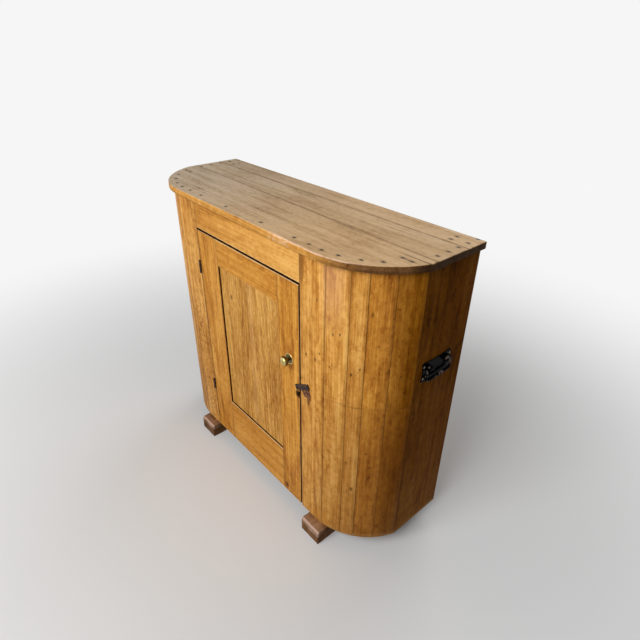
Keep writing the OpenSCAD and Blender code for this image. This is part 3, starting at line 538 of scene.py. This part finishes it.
def door_wood():
    board("door_stile_left", "XYZ", 61, AMBER, heart=(-0.22, 0.0), contrast=0.8, darker=-0.04, grime=0.3,
          rough=FRONT_ROUGH, front=FRONT_Y, sides=(-0.4, 0.1, 0.3, 0.4))
    # The right stile's top end has a pale arris that is both wear and a painted highlight
    board("door_stile_right", "XYZ", 62, AMBER, heart=(0.24, 0.0), contrast=0.9, darker=-0.04,
          drift=(0.13, -0.10), rough=FRONT_ROUGH, front=FRONT_Y, grime=0.3, sides=(0.1, 0.2, 0.3, 0.8),
          knots=((0.212, 0.092, 8 * MM),), extra=notch_shade)
    panel_low, panel_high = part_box("door_panel")
    # The rails' upper arrises are pale, as wear and as a painted highlight in one
    for name, seed, rubbed in (("door_rail_top", 63, 0.2), ("door_rail_bottom", 64, 0.3)):
        low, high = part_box(name)
        board(name, "ZYX", seed, AMBER, heart=((low.z + high.z) / 2, 0.0), lean=0.015, contrast=0.55,
              darker=-0.06, grime=0.3, rough=FRONT_ROUGH, front=FRONT_Y, sides=(rubbed, 0.75, -0.6, -0.6),
              edges=((low.z, high.z), (panel_low.x + 10 * MM, panel_high.x - 10 * MM)))
    board("door_panel", "XYZ", 65, PANEL, heart=(0.02, -0.30), pitch=0.0085, lean=0.035, contrast=0.85,
          darker=-0.02, rough=0.48, relief=0.0009, knots=((-0.0985, 0.785, 4.5 * MM),), extra=figured)


def worn_nose(tree, color, across, depth, along, dark):
    """The bearer's nose is rubbed pale and pinkish on top, with a painted highlight along its front ridge."""
    spot = tree.combine(tree.times(across, 30.0), tree.times(depth, 20.0), tree.times(along, 20.0))
    shine = tree.noise(spot, 1.0)
    front = tree.remap(tree.add(along, tree.times(shine, 0.03)), FRONT_Y + 16 * MM, FRONT_Y - 6 * MM)
    top = tree.remap(tree.add(depth, tree.times(shine, 0.02)), CASE_Z - 16 * MM, CASE_Z - 4 * MM)
    color = tree.mix(tree.times(tree.times(front, top), 0.35), color, NOSE_TOP)
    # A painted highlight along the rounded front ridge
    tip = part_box("bearer_right")[0].y + 7 * MM
    ridge = tree.apart(tree.add(along, tree.times(shine, 0.006)), tip)
    return tree.mix(tree.times(tree.remap(ridge, 5 * MM, 1 * MM, 0.0, 0.55), top), color, NOSE_RIDGE_HIGHLIGHT)


# The axes of the boards that hardly show: across the grain, into the board and along the grain
HIDDEN_ORDERS = {"back_board": "XYZ", "back_rail": "YZX", "base_board": "YZX", "top_former": "YZX",
                 "lower_shelf": "YZX", "upper_shelf": "YZX", "shelf_cleats": "ZXY", "door_stop": "XYZ"}


def hidden_wood():
    for number, node in enumerate(sorted(CAD)):
        for start, order in HIDDEN_ORDERS.items():
            if node.startswith(start):
                board(node, order, 100 + number, INSIDE, heart=(0.03, 0.9), contrast=0.9, rough=0.7)
    # The left bearer is painted darker than the right, as painted shade
    for side, seed, darker in (("left", 81, 0.20), ("right", 82, 0.0)):
        low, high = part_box("bearer_" + side)
        board("bearer_" + side, "XZY", seed, BEARER, darker=darker, heart=((low.x + high.x) / 2, -0.14),
              pitch=0.008, lean=0.03, rough=0.55, grime=0.8, extra=worn_nose)


def joint_line(tree, x, y):
    """Distance from the slanting joint between the top's front and middle boards."""
    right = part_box("top_board_middle")
    left_y, right_y, reach = TOP_HIGH.y, right[0].y, right[1].x
    slope = (right_y - left_y) / (2 * reach)
    middle = (left_y + right_y) / 2
    return tree.apart(y, tree.add(tree.times(x, slope), middle))


def soiled_joints(tree, color, across, along, wobble):
    """Dirt beside the top's joints, and the joints themselves, thin and dark."""
    back = tree.apart(across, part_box("top_board_back")[0].y)
    near = tree.math("MINIMUM", joint_line(tree, along, across), back)
    soiled = tree.add(near, tree.times(wobble, 0.010))
    color = tree.mix(tree.remap(soiled, 7 * MM, 0.0, 0.0, 0.5), color, JOINT_DIRT)
    sharp = tree.times(tree.remap(near, 1.2 * MM, 0.4 * MM), tree.remap(along, -0.45, 0.20, 0.8, 0.45))
    return tree.mix(sharp, color, JOINT_DEPTH)


def cracked(tree, color, across, along, wobble, cracks):
    """Straight cracks along the grain: each with its y, its two ends and its width."""
    fade = 40 * MM
    for y, low, high, width in cracks:
        off = tree.apart(tree.add(across, tree.times(wobble, 0.003)), y)
        inside = tree.times(tree.remap(along, low, low + fade), tree.remap(along, high, high - fade))
        thin = tree.remap(off, width, width * 0.3, 0.0, 0.8)
        color = tree.mix(tree.times(thin, inside), color, CRACK)
    return color


def stained_nails(tree, color, across, along, wobble, nails):
    """Black nail heads in brown stains."""
    nail = tree.add(spots(tree, across, along, nails, 1.5), tree.times(wobble, 0.35))
    stain = tree.add(nail, tree.times(wobble, 0.9))
    color = tree.mix(tree.remap(stain, 2.4, 0.9, 0.0, 0.4), color, NAIL_STAIN)
    return tree.mix(tree.remap(nail, 1.05, 0.75, 0.0, 0.95), color, NAIL_HEAD)


def hair_cracks(tree, color, across, along):
    """Fine cracks along the grain, in parts of the board."""
    line = tree.cloud((across, along), (85.0, 1.6), 1.0)
    thin = tree.remap(tree.apart(line, 0.5), 0.008, 0.0)
    part = tree.remap(tree.cloud((across, along), (14.0, 5.0), layer=3.0), 0.50, 0.64)
    return tree.mix(tree.times(tree.times(thin, part), 0.75), color, HAIR_CRACK)


def top_rim(tree, color, across, depth, along, dark, wobble):
    """The rim: honey-coloured in front, bare behind, brown round the ends and near black at the right end as
    painted shade, and chipped, with a painted highlight along its rubbed arris.
    """
    drop = tree.less(TOP_Z, tree.add(depth, tree.times(wobble, 0.002)))
    end = tree.math("MAXIMUM", tree.remap(along, 0.30, 0.54), tree.remap(along, -0.42, -0.54))
    honey = pine(tree, tree.add(dark, -0.02), HONEY)
    # Painted shade: the rim is brown round the ends and near black at the right end, away from the light
    brown = pine(tree, tree.add(dark, 0.12), BEARER)
    brown = tree.mix(tree.remap(along, 0.590, 0.618, 0.0, 0.75), brown, END_RIM_SHADE)
    bare = pine(tree, tree.add(dark, 0.05), INSIDE)
    rim = tree.mix(tree.remap(across, BACK_Y - 4 * MM, BACK_Y - 2 * MM), tree.mix(end, honey, brown), bare)
    color = tree.mix(tree.remap(drop, 0.5 * MM, 2.2 * MM), color, rim)
    # A painted highlight along the rubbed arris of the front rim
    rubbed = tree.times(tree.remap(along, 0.17, 0.24), tree.remap(along, 0.56, 0.42))
    arris = tree.times(tree.remap(drop, 0.2 * MM, 1.0 * MM), tree.remap(drop, 5.0 * MM, 2.2 * MM))
    worn = tree.times(tree.times(arris, rubbed), tree.remap(wobble, -0.25, 0.1, 0.1, 0.75))
    color = tree.mix(worn, color, RUBBED_RIM_HIGHLIGHT)
    chip = spots(tree, across, along, [(y, x, reach) for (x, y), reach, _ in CHIPS[:FRESH_CHIPS]], 1.0)
    fresh = tree.remap(tree.add(chip, tree.times(wobble, 1.5)), 1.0, 0.5)
    fresh = tree.times(fresh, tree.remap(drop, 1.0 * MM, 1.8 * MM))
    spot = tree.combine(*(tree.times(part, 260.0) for part in (across, depth, along)))
    splinters = tree.remap(tree.noise(spot, 1.0, 3.0), 0.42, 0.62, 0.0, 0.85)
    return tree.mix(tree.times(fresh, splinters), color, FRESH_CHIP)


def worn_top(cracks, nails, cool, warm):
    """Extra for a board of the top. Its tones go from cool and darker at the left to warm at the right: a
    painted greyish reflection at the left end and more painted light at the right.
    """
    def extra(tree, color, across, depth, along, dark):
        spot = tree.combine(tree.times(along, 25.0), tree.times(across, 25.0), 0.0)
        wobble = tree.less(tree.noise(spot, 1.0, 3.0), 0.5)
        color = soiled_joints(tree, color, across, along, wobble)
        color = cracked(tree, color, across, along, wobble, cracks)
        color = stained_nails(tree, color, across, along, wobble, nails)
        # Painted tones: cooler and darker at the left end as a painted reflection, warmer and brighter at the
        # right as painted light
        tones = tree.ramp(tree.remap(along, -0.55, 0.45), [(0.0, cool), (1.0, warm)])
        color = tree.mix(1.0, color, tones, "MULTIPLY")
        color = hair_cracks(tree, color, across, along)
        return top_rim(tree, color, across, depth, along, dark, wobble)
    return extra


# Nails of the top: width of a head, how far below the surface it lies at most, and radius of its stain
HEAD_WIDTH, HEAD_DEPTH, STAIN_R = 12 * MM, 0.8 * MM, 4.2 * MM


def nail_places():
    """Where the top's nails are, from their heads: along Y, along X and the stain's radius."""
    heads = [corner.co.xy for corner in CAD["top_nails"].data.vertices if corner.co.z > TOP_Z - HEAD_DEPTH]
    places = []
    for head in heads:
        for group in places:
            if (group[0] - head).length < HEAD_WIDTH:
                group.append(head)
                break
        else:
            places.append([head])
    return [(sum(spot.y for spot in group) / len(group), sum(spot.x for spot in group) / len(group), STAIN_R)
            for group in places]


# The top's boards: rounded and chipped edges of some radius, and a pocket round each nail's head
TOP_R = (TOP_HIGH.x - TOP_LOW.x) / 2 - SIDE_X + CORNER_R
TOP_SHIFT = (TOP_HIGH.x + TOP_LOW.x) / 2
RIM_EDGE, JOINT_EDGE, BACK_EDGE, LOW_EDGE = 3.0 * MM, 0.8 * MM, 1.5 * MM, 1.2 * MM
RIM_STEP, END_STEP, JOINT_STEP = 2.5 * MM, 5 * MM, 8 * MM
EDGE_TURNS = (0.0, 22.5, 45.0, 67.5, 90.0)
# From this sine of the angle between two stretches on, they meet in a corner
CORNER_SINE = 0.2
# What the triangulation takes: only the triangles inside the outline, and its tolerance
INSIDE_ONLY, TOLERANCE = 1, 1e-9
FLAT_STRIP = 1.0 * MM
# A pocket's radius at each depth below the surface
POCKET = [(3.6 * MM, 0.0), (3.3 * MM, 0.35 * MM), (3.3 * MM, 1.6 * MM)]
POCKET_SIDES = 16
# Chipped stretches of the rim: middle, half length, depth. The first few show fresh wood
CHIPS = [((0.245, -0.197), 36 * MM, 4.5 * MM), ((0.210, -0.197), 14 * MM, 6.0 * MM),
         ((0.186, -0.197), 9 * MM, 3.5 * MM), ((0.625, -0.002), 14 * MM, 5.0 * MM),
         ((0.610, -0.060), 20 * MM, 1.8 * MM), ((-0.29, -0.197), 30 * MM, 1.6 * MM),
         ((0.05, -0.197), 15 * MM, 1.4 * MM)]
FRESH_CHIPS = 3


def split(start, end, step):
    """Points from start to end, about a step apart, without the end."""
    start, end = Vector(start), Vector(end)
    count = max(round((end - start).length / step), 1)
    return [start.lerp(end, i / count) for i in range(count)]


def front_rim():
    """The rim of the front board, from its left to its right joint."""
    turn = math.asin((SIDE_X + TOP_R - CORNER_R - CORNER_X) / TOP_R)
    steps = round(turn * TOP_R / RIM_STEP)
    angles = [turn * i / steps for i in range(steps + 1)]
    right = [Vector((CORNER_X + TOP_R * math.sin(a), CORNER_Y - TOP_R * math.cos(a))) for a in angles]
    left = [Vector((-spot.x, spot.y)) for spot in reversed(right)]
    points = left[:-1] + split(left[-1], right[0], RIM_STEP) + right
    for spot in points:
        spot.x += TOP_SHIFT
    return (split((TOP_LOW.x, TOP_HIGH.y), points[0], END_STEP) + points[:-1]
            + split(points[-1], (TOP_HIGH.x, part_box("top_board_middle")[0].y - 1 * MM), END_STEP))


def top_outlines():
    """Each board's outline from above, anticlockwise: its stretches and the radius of their edges."""
    middle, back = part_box("top_board_middle"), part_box("top_board_back")
    gap = back[0].y - middle[1].y
    left, right = TOP_LOW.x, TOP_HIGH.x
    left_y, right_y = TOP_HIGH.y, middle[0].y - gap
    return {
        "top_board_front": [(front_rim(), RIM_EDGE),
                            (split((right, right_y), (left, left_y), JOINT_STEP), JOINT_EDGE)],
        "top_board_middle": [
            (split((left, middle[1].y), (left, left_y + gap), END_STEP), RIM_EDGE),
            (split((left, left_y + gap), (right, middle[0].y), JOINT_STEP), JOINT_EDGE),
            (split((right, middle[0].y), (right, middle[1].y), END_STEP), RIM_EDGE),
            (split((right, middle[1].y), (left, middle[1].y), JOINT_STEP), JOINT_EDGE)],
        "top_board_back": [
            (split((left, back[1].y), (left, back[0].y), END_STEP), RIM_EDGE),
            (split((left, back[0].y), (right, back[0].y), JOINT_STEP), JOINT_EDGE),
            (split((right, back[0].y), (right, back[1].y), END_STEP), RIM_EDGE),
            (split((right, back[1].y), (left, back[1].y), JOINT_STEP), BACK_EDGE)]}


def chipped(spot, draw):
    """How much deeper the edge is broken off at a point of the rim."""
    depth = 0.0
    for (x, y), reach, most in CHIPS:
        far = (spot - Vector((x, y))).length / reach
        if far < 1:
            depth = max(depth, most * (1 - far * far) * draw.uniform(0.35, 1.0))
    return depth


def inset(points, radii, share, more=0.0):
    """The outline moved inwards: each edge by its radius times a share, and by more."""
    count = len(points)
    moved = []
    for i, spot in enumerate(points):
        before, after = (spot - points[i - 1]).normalized(), (points[(i + 1) % count] - spot).normalized()
        a, b = Vector((-before.y, before.x)), Vector((-after.y, after.x))
        da, db = (radius * share + more for radius in radii[i])
        cross = a.x * b.y - a.y * b.x
        if abs(cross) < CORNER_SINE:
            moved.append(spot + (a + b).normalized() * (da + db) / 2)
        else:
            moved.append(spot + Vector(((da * b.y - db * a.y) / cross, (db * a.x - da * b.x) / cross)))
    return moved


def add_pocket(made, x, y):
    """A round pocket for a nail's head. Gives back the corners of its mouth."""
    turns = [2 * math.pi * i / POCKET_SIDES for i in range(POCKET_SIDES)]
    levels = []
    for radius, depth in POCKET:
        level = [(x + radius * math.cos(a), y + radius * math.sin(a), TOP_Z - depth) for a in turns]
        levels.append([made.verts.new(spot) for spot in level])
    for upper, lower in zip(levels, levels[1:]):
        for i in range(POCKET_SIDES):
            made.faces.new((upper[i - 1], upper[i], lower[i], lower[i - 1]))
    made.faces.new(levels[-1])
    return levels[0]


def add_flat(made, rim, mouths, nails):
    """The flat face between the rim and the pockets' mouths."""
    corners, edges = [], []
    for loop in [rim] + mouths:
        start = len(corners)
        corners += loop
        edges += [(start + i, start + (i + 1) % len(loop)) for i in range(len(loop))]
    found = delaunay_2d_cdt([corner.co.xy for corner in corners], edges, [], INSIDE_ONLY, TOLERANCE)
    places, faces, source = found[0], found[2], [ids[0] for ids in found[3]]
    mouth_r = POCKET[0][0] * 0.97
    for face in faces:
        middle = sum((places[i] for i in face), Vector((0.0, 0.0))) / len(face)
        if all((middle - Vector((x, y))).length > mouth_r for y, x in nails):
            made.faces.new([corners[source[i]] for i in face])


def top_board_mesh(name, stretches, nails):
    """A board with round, chipped edges, closed, with a pocket for each nail's head."""
    draw = random.Random(name)
    low_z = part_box(name)[0].z
    points, edge_of = [], []
    for stretch, radius in stretches:
        points += stretch
        edge_of += [radius] * len(stretch)
    radii = []
    for i, spot in enumerate(points):
        pair = edge_of[i - 1], edge_of[i]
        extra = chipped(spot, draw) if max(pair) >= RIM_EDGE else 0.0
        radii.append([radius * draw.uniform(0.85, 1.15) + extra for radius in pair])

    far = POCKET[0][0] + FLAT_STRIP + 1 * MM
    nails = [(y, x) for y, x, _ in nails
             if all((spot - Vector((x, y))).length > max(pair) + far for spot, pair in zip(points, radii))]
    made = bmesh.new()

    def ring(spots, heights):
        return [made.verts.new((spot.x, spot.y, z)) for spot, z in zip(spots, heights)]

    def drop(share):
        return [TOP_Z - (pair[0] + pair[1]) / 2 * share for pair in radii]

    rings = [ring(inset(points, radii, 1.0, FLAT_STRIP), drop(0.0))]
    for turn in EDGE_TURNS:
        angle = math.radians(turn)
        rings.append(ring(inset(points, radii, 1 - math.sin(angle)), drop(1 - math.cos(angle))))
    rings.append(ring(points, [low_z + LOW_EDGE] * len(points)))
    rings.append(ring(inset(points, [(LOW_EDGE, LOW_EDGE)] * len(points), 1.0), [low_z] * len(points)))
    for upper, lower in zip(rings, rings[1:]):
        for i in range(len(points)):
            made.faces.new((upper[i - 1], lower[i - 1], lower[i], upper[i])).smooth = True
    made.faces.new(list(reversed(rings[-1])))
    mouths = [add_pocket(made, x, y) for y, x in nails]
    add_flat(made, rings[0], mouths, nails)
    made.normal_update()
    mesh = bpy.data.meshes.new(name)
    made.to_mesh(mesh)
    made.free()
    return mesh


def nail_board(spot):
    """The top board that a nail is in."""
    y, x, _ = spot
    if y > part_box("top_board_back")[0].y:
        return "top_board_back"
    left_y, right_y = TOP_HIGH.y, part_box("top_board_middle")[0].y
    joint = left_y + (x - TOP_LOW.x) / (TOP_HIGH.x - TOP_LOW.x) * (right_y - left_y)
    return "top_board_middle" if y > joint else "top_board_front"


def new_object(name, data):
    """Puts a new object into the scene."""
    made = bpy.data.objects.new(name, data)
    bpy.context.scene.collection.objects.link(made)
    return made


def top_wood():
    cracks = {"back": (), "middle": ((-0.0520, -0.089, 0.129, 1.1 * MM),),
              "front": ((-0.118, 0.18, 0.40, 1.0 * MM), (-0.060, -0.47, -0.30, 0.8 * MM))}
    nails = nail_places()
    outlines = top_outlines()
    for name, seed, colors, heart, cool, warm in (
            ("back", 71, GREYED_WARM, (0.19, -0.2), (0.68, 0.73, 0.80), (1.0, 0.97, 0.88)),
            ("middle", 72, GREYED, (0.07, -0.2), (0.84, 0.92, 1.0), (1.0, 0.94, 0.80)),
            ("front", 73, GREYED, (-0.10, -0.2), (0.80, 0.87, 0.96), (1.0, 0.93, 0.76))):
        node = "top_board_" + name
        own = [spot for spot in nails if nail_board(spot) == node]
        board(node, "YZX", seed, colors, heart=heart, pitch=0.012, lean=0.03, contrast=0.7, patchy=0.3,
              rough=0.6, edges=None, extra=worn_top(cracks[name], own, cool, warm))
        mesh = top_board_mesh(node, outlines[node], own)
        mesh.materials.append(CAD[node].data.materials[0])
        piece = new_object("worn_" + node, mesh)
        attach(piece, "case")
        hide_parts(node)


def old_brass():
    """The knob is bright in the middle of its front, and dark round its neck and in the dish of its rose."""
    tree = Tree(bpy.data.materials.new("old_brass"))
    x, y, z = tree.place()
    tarnish = tree.noise(tree.combine(x, y, z), 90.0, 4.0, 0.6)
    low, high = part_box("knob_rose")
    middle = (low + high) / 2
    radius = tree.length(tree.less(x, middle.x), tree.less(z, middle.z), 0.0)
    ahead = tree.remap(y, low.y - 6 * MM, low.y - 10 * MM)
    dish = tree.remap(radius, 17.5 * MM, 14.0 * MM)
    edge = tree.remap(radius, 12.0 * MM, 16.8 * MM)
    dark = tree.mix(ahead, tree.combine(dish, dish, dish), tree.combine(edge, edge, edge))
    dirt = tree.remap(tree.add(dark, tree.times(tree.less(tarnish, 0.5), 0.8)), 0.15, 0.9)
    color = tree.ramp(tree.add(tarnish, tree.times(dirt, -0.05)),
                      [(0.3, (0.34, 0.24, 0.070)), (0.5, (0.66, 0.50, 0.18)), (0.7, (0.80, 0.66, 0.30))])
    color = tree.mix(tree.times(dirt, 0.88), color, BRASS_DIRT)
    return tree.shade(color, tree.remap(tarnish, 0.3, 0.7, 0.38, 0.2), tarnish, 0.05 * MM, Metallic=1.0)


def japanned_iron():
    """Black iron. Hands have rubbed the handles' lugs and the bails' arms down to brown, and this pale brown
    is also a painted highlight.
    """
    tree = Tree(bpy.data.materials.new("japanned_iron"))
    spot = tree.spot()
    wear = tree.noise(spot, 140.0, 5.0, 0.65)
    color = tree.ramp(wear, [(0.0, (0.001, 0.001, 0.001)), (0.64, (0.002, 0.002, 0.002)),
                             (0.76, (0.045, 0.032, 0.026))])
    # The rubbed brown patches also serve as a painted highlight on the lugs and arms
    out = tree.remap(tree.math("ABSOLUTE", tree.place()[0]), SIDE_X + 7 * MM, SIDE_X + 13 * MM)
    rubbed = tree.times(tree.remap(tree.noise(spot, 65.0, 3.0), 0.53, 0.62), out)
    color = tree.mix(tree.times(rubbed, 0.55), color, HANDLED_IRON_HIGHLIGHT)
    return tree.shade(color, tree.remap(wear, 0.35, 0.7, 0.15, 0.35), wear, 0.1 * MM, Specular_IOR_Level=0.02)


def iron(name, waves, detail, roughness, stops, matt, bump, gloss):
    """Iron that is coloured by its rust or wear. Matt is its roughness, or where that starts and ends."""
    tree = Tree(bpy.data.materials.new(name))
    wear = tree.noise(tree.spot(), waves, detail, roughness)
    if isinstance(matt, tuple):
        matt = tree.remap(wear, 0.3, 0.7, *matt)
    return tree.shade(tree.ramp(wear, stops), matt, wear, bump, Specular_IOR_Level=gloss)


def metals():
    brass = old_brass()
    japanned = japanned_iron()
    # The heads of the handles' screws are pale where drivers and fingers have bared them, which is also a
    # painted highlight
    bared_glinting = iron("bared_glinting_iron", 400.0, 4.0, 0.6,
                 [(0.38, (0.030, 0.022, 0.018)), (0.52, (0.25, 0.20, 0.17)), (0.65, (0.52, 0.44, 0.38))],
                 0.4, 0.1 * MM, 0.3)
    dark = iron("dark_iron", 110.0, 5.0, 0.65,
                [(0.35, (0.020, 0.012, 0.010)), (0.52, (0.060, 0.040, 0.034)), (0.70, (0.12, 0.060, 0.036))],
                (0.5, 0.75), 0.3 * MM, 0.12)
    rusted = iron("rusted_iron", 150.0, 5.0, 0.7,
                  [(0.38, (0.040, 0.022, 0.019)), (0.48, (0.110, 0.050, 0.034)),
                   (0.55, (0.26, 0.105, 0.045)), (0.68, (0.42, 0.20, 0.09))],
                  0.8, 0.5 * MM, 0.08)
    for node in CAD:
        if node in ("knob", "knob_rose", "knob_nut"):
            dress(node, brass)
        elif node.startswith(("handle_plate", "bail_")):
            dress(node, japanned)
        elif node in ("latch_keeper", "keeper_nails"):
            dress(node, rusted)
        elif node == "handle_screws":
            dress(node, bared_glinting)
        elif node.startswith(("hinge_", "latch_", "top_nails")):
            dress(node, dark)


BAR_EDGE = 1.1 * MM


def forged_bar():
    """The latch's bar with its edges and corners hammered round."""
    source = CAD["latch_bar"]
    made = bmesh.new()
    for corner in source.data.vertices:
        made.verts.new(corner.co)
    hull = bmesh.ops.convex_hull(made, input=made.verts)
    bmesh.ops.delete(made, geom=list({*hull["geom_interior"], *hull["geom_unused"]}), context="VERTS")
    bmesh.ops.dissolve_limit(made, angle_limit=SMOOTH, verts=made.verts, edges=made.edges)
    bmesh.ops.bevel(made, geom=list(made.edges), offset=BAR_EDGE, segments=3, profile=0.5, affect="EDGES")
    for face in made.faces:
        face.smooth = True
    mesh = bpy.data.meshes.new("forged_bar")
    made.to_mesh(mesh)
    made.free()
    mesh.materials.append(source.data.materials[0])
    piece = new_object("forged_bar", mesh)
    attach(piece, "latch_bar")
    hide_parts("latch_bar")


def soften_all():
    for node in CAD:
        if node.startswith("bearer"):
            soften(node, 2.2 * MM, 3)
        elif node.startswith(("side_board", "front_board", "frieze", "door_stile", "door_rail")):
            soften(node, 0.9 * MM)
        elif node.startswith("stave"):
            soften(node, 0.4 * MM)
        elif node.startswith("handle_plate"):
            soften(node, 0.6 * MM)


# The studio: the floor's colour as it lights the object and as it is seen, the white seen behind all, and
# the soft light from all sides
FLOOR_HALF = 9.0
FLOOR_FADE = 0.7, 2.9
FLOOR_LIT, FLOOR_SEEN = (0.30, 0.30, 0.295), (0.80, 0.80, 0.795)
WHITE, WHITE_STRENGTH = (1.0, 1.0, 1.0, 1.0), 0.92
SOFT, SOFT_STRENGTH = (0.95, 0.97, 1.0, 1.0), 0.17
LAMP_AIM = Vector((0.0, 0.0, 0.6))
# Each lamp: name, place, width and power
LAMPS = [("key", (0.5, -3.4, 2.9), 3.0, 152.0), ("fill", (-3.0, -1.8, 2.2), 2.5, 6.0),
         ("back", (-1.0, 3.6, 2.2), 2.5, 60.0)]


def pale_floor():
    """A plain floor that the camera sees pale, and further off as bright as the background."""
    tree = Tree(bpy.data.materials.new("pale_floor"))
    seen = tree.seen()
    x, y, _ = tree.place()
    far = tree.remap(tree.length(x, y, 0.0), *FLOOR_FADE)
    matt = tree.node("ShaderNodeBsdfDiffuse", {"Color": tree.mix(seen, FLOOR_LIT, FLOOR_SEEN)}).outputs[0]
    white = tree.node("ShaderNodeEmission", {"Color": WHITE, "Strength": WHITE_STRENGTH}).outputs[0]
    surface = tree.node("ShaderNodeMixShader", {0: tree.times(seen, far), 1: matt, 2: white}).outputs[0]
    tree.node("ShaderNodeOutputMaterial", {"Surface": surface})
    return tree.owner


def pale_world():
    """Soft light from all sides, which the camera sees as white."""
    tree = Tree(bpy.data.worlds.new("studio"))
    soft = tree.node("ShaderNodeBackground", {"Color": SOFT, "Strength": SOFT_STRENGTH}).outputs[0]
    white = tree.node("ShaderNodeBackground", {"Color": WHITE, "Strength": WHITE_STRENGTH}).outputs[0]
    surface = tree.node("ShaderNodeMixShader", {0: tree.seen(), 1: soft, 2: white}).outputs[0]
    tree.node("ShaderNodeOutputWorld", {"Surface": surface})
    return tree.owner


def studio():
    mesh = bpy.data.meshes.new("floor")
    corners = [(x * FLOOR_HALF, y * FLOOR_HALF, 0) for x, y in ((-1, -1), (1, -1), (1, 1), (-1, 1))]
    mesh.from_pydata(corners, [], [(0, 1, 2, 3)])
    floor = new_object("floor", mesh)
    mesh.materials.append(pale_floor())
    bpy.context.scene.world = pale_world()
    for name, spot, width, power in LAMPS:
        lamp = bpy.data.lights.new(name, "AREA")
        lamp.size = width
        lamp.energy = power
        holder = new_object(name, lamp)
        holder.location = spot
        holder.rotation_euler = (LAMP_AIM - Vector(spot)).to_track_quat("-Z", "Y").to_euler()


# The photo's camera, fitted to the case's edges: its place, its angles in degrees and its lens in mm
CAMERA_PLACE = (1.2763, -0.9633, 1.6194)
HEADING, DOWN, ROLL = 48.53, 30.79, 0.70
LENS, SENSOR_WIDTH = 27.72, 36.0


def photo_camera():
    lens = bpy.data.cameras.new("photo")
    lens.lens = LENS
    lens.sensor_width = SENSOR_WIDTH
    heading, down, roll = (math.radians(angle) for angle in (HEADING, DOWN, ROLL))
    holder = new_object("photo", lens)
    turn = (Matrix.Rotation(heading, 4, "Z") @ Matrix.Rotation(math.pi / 2 - down, 4, "X")
            @ Matrix.Rotation(roll, 4, "Z"))
    holder.matrix_world = Matrix.Translation(CAMERA_PLACE) @ turn
    bpy.context.scene.camera = holder


photo_camera()
studio()
front_wood()
door_wood()
top_wood()
hidden_wood()
metals()
forged_bar()
soften_all()

bpy.context.scene.view_settings.view_transform = "Standard"
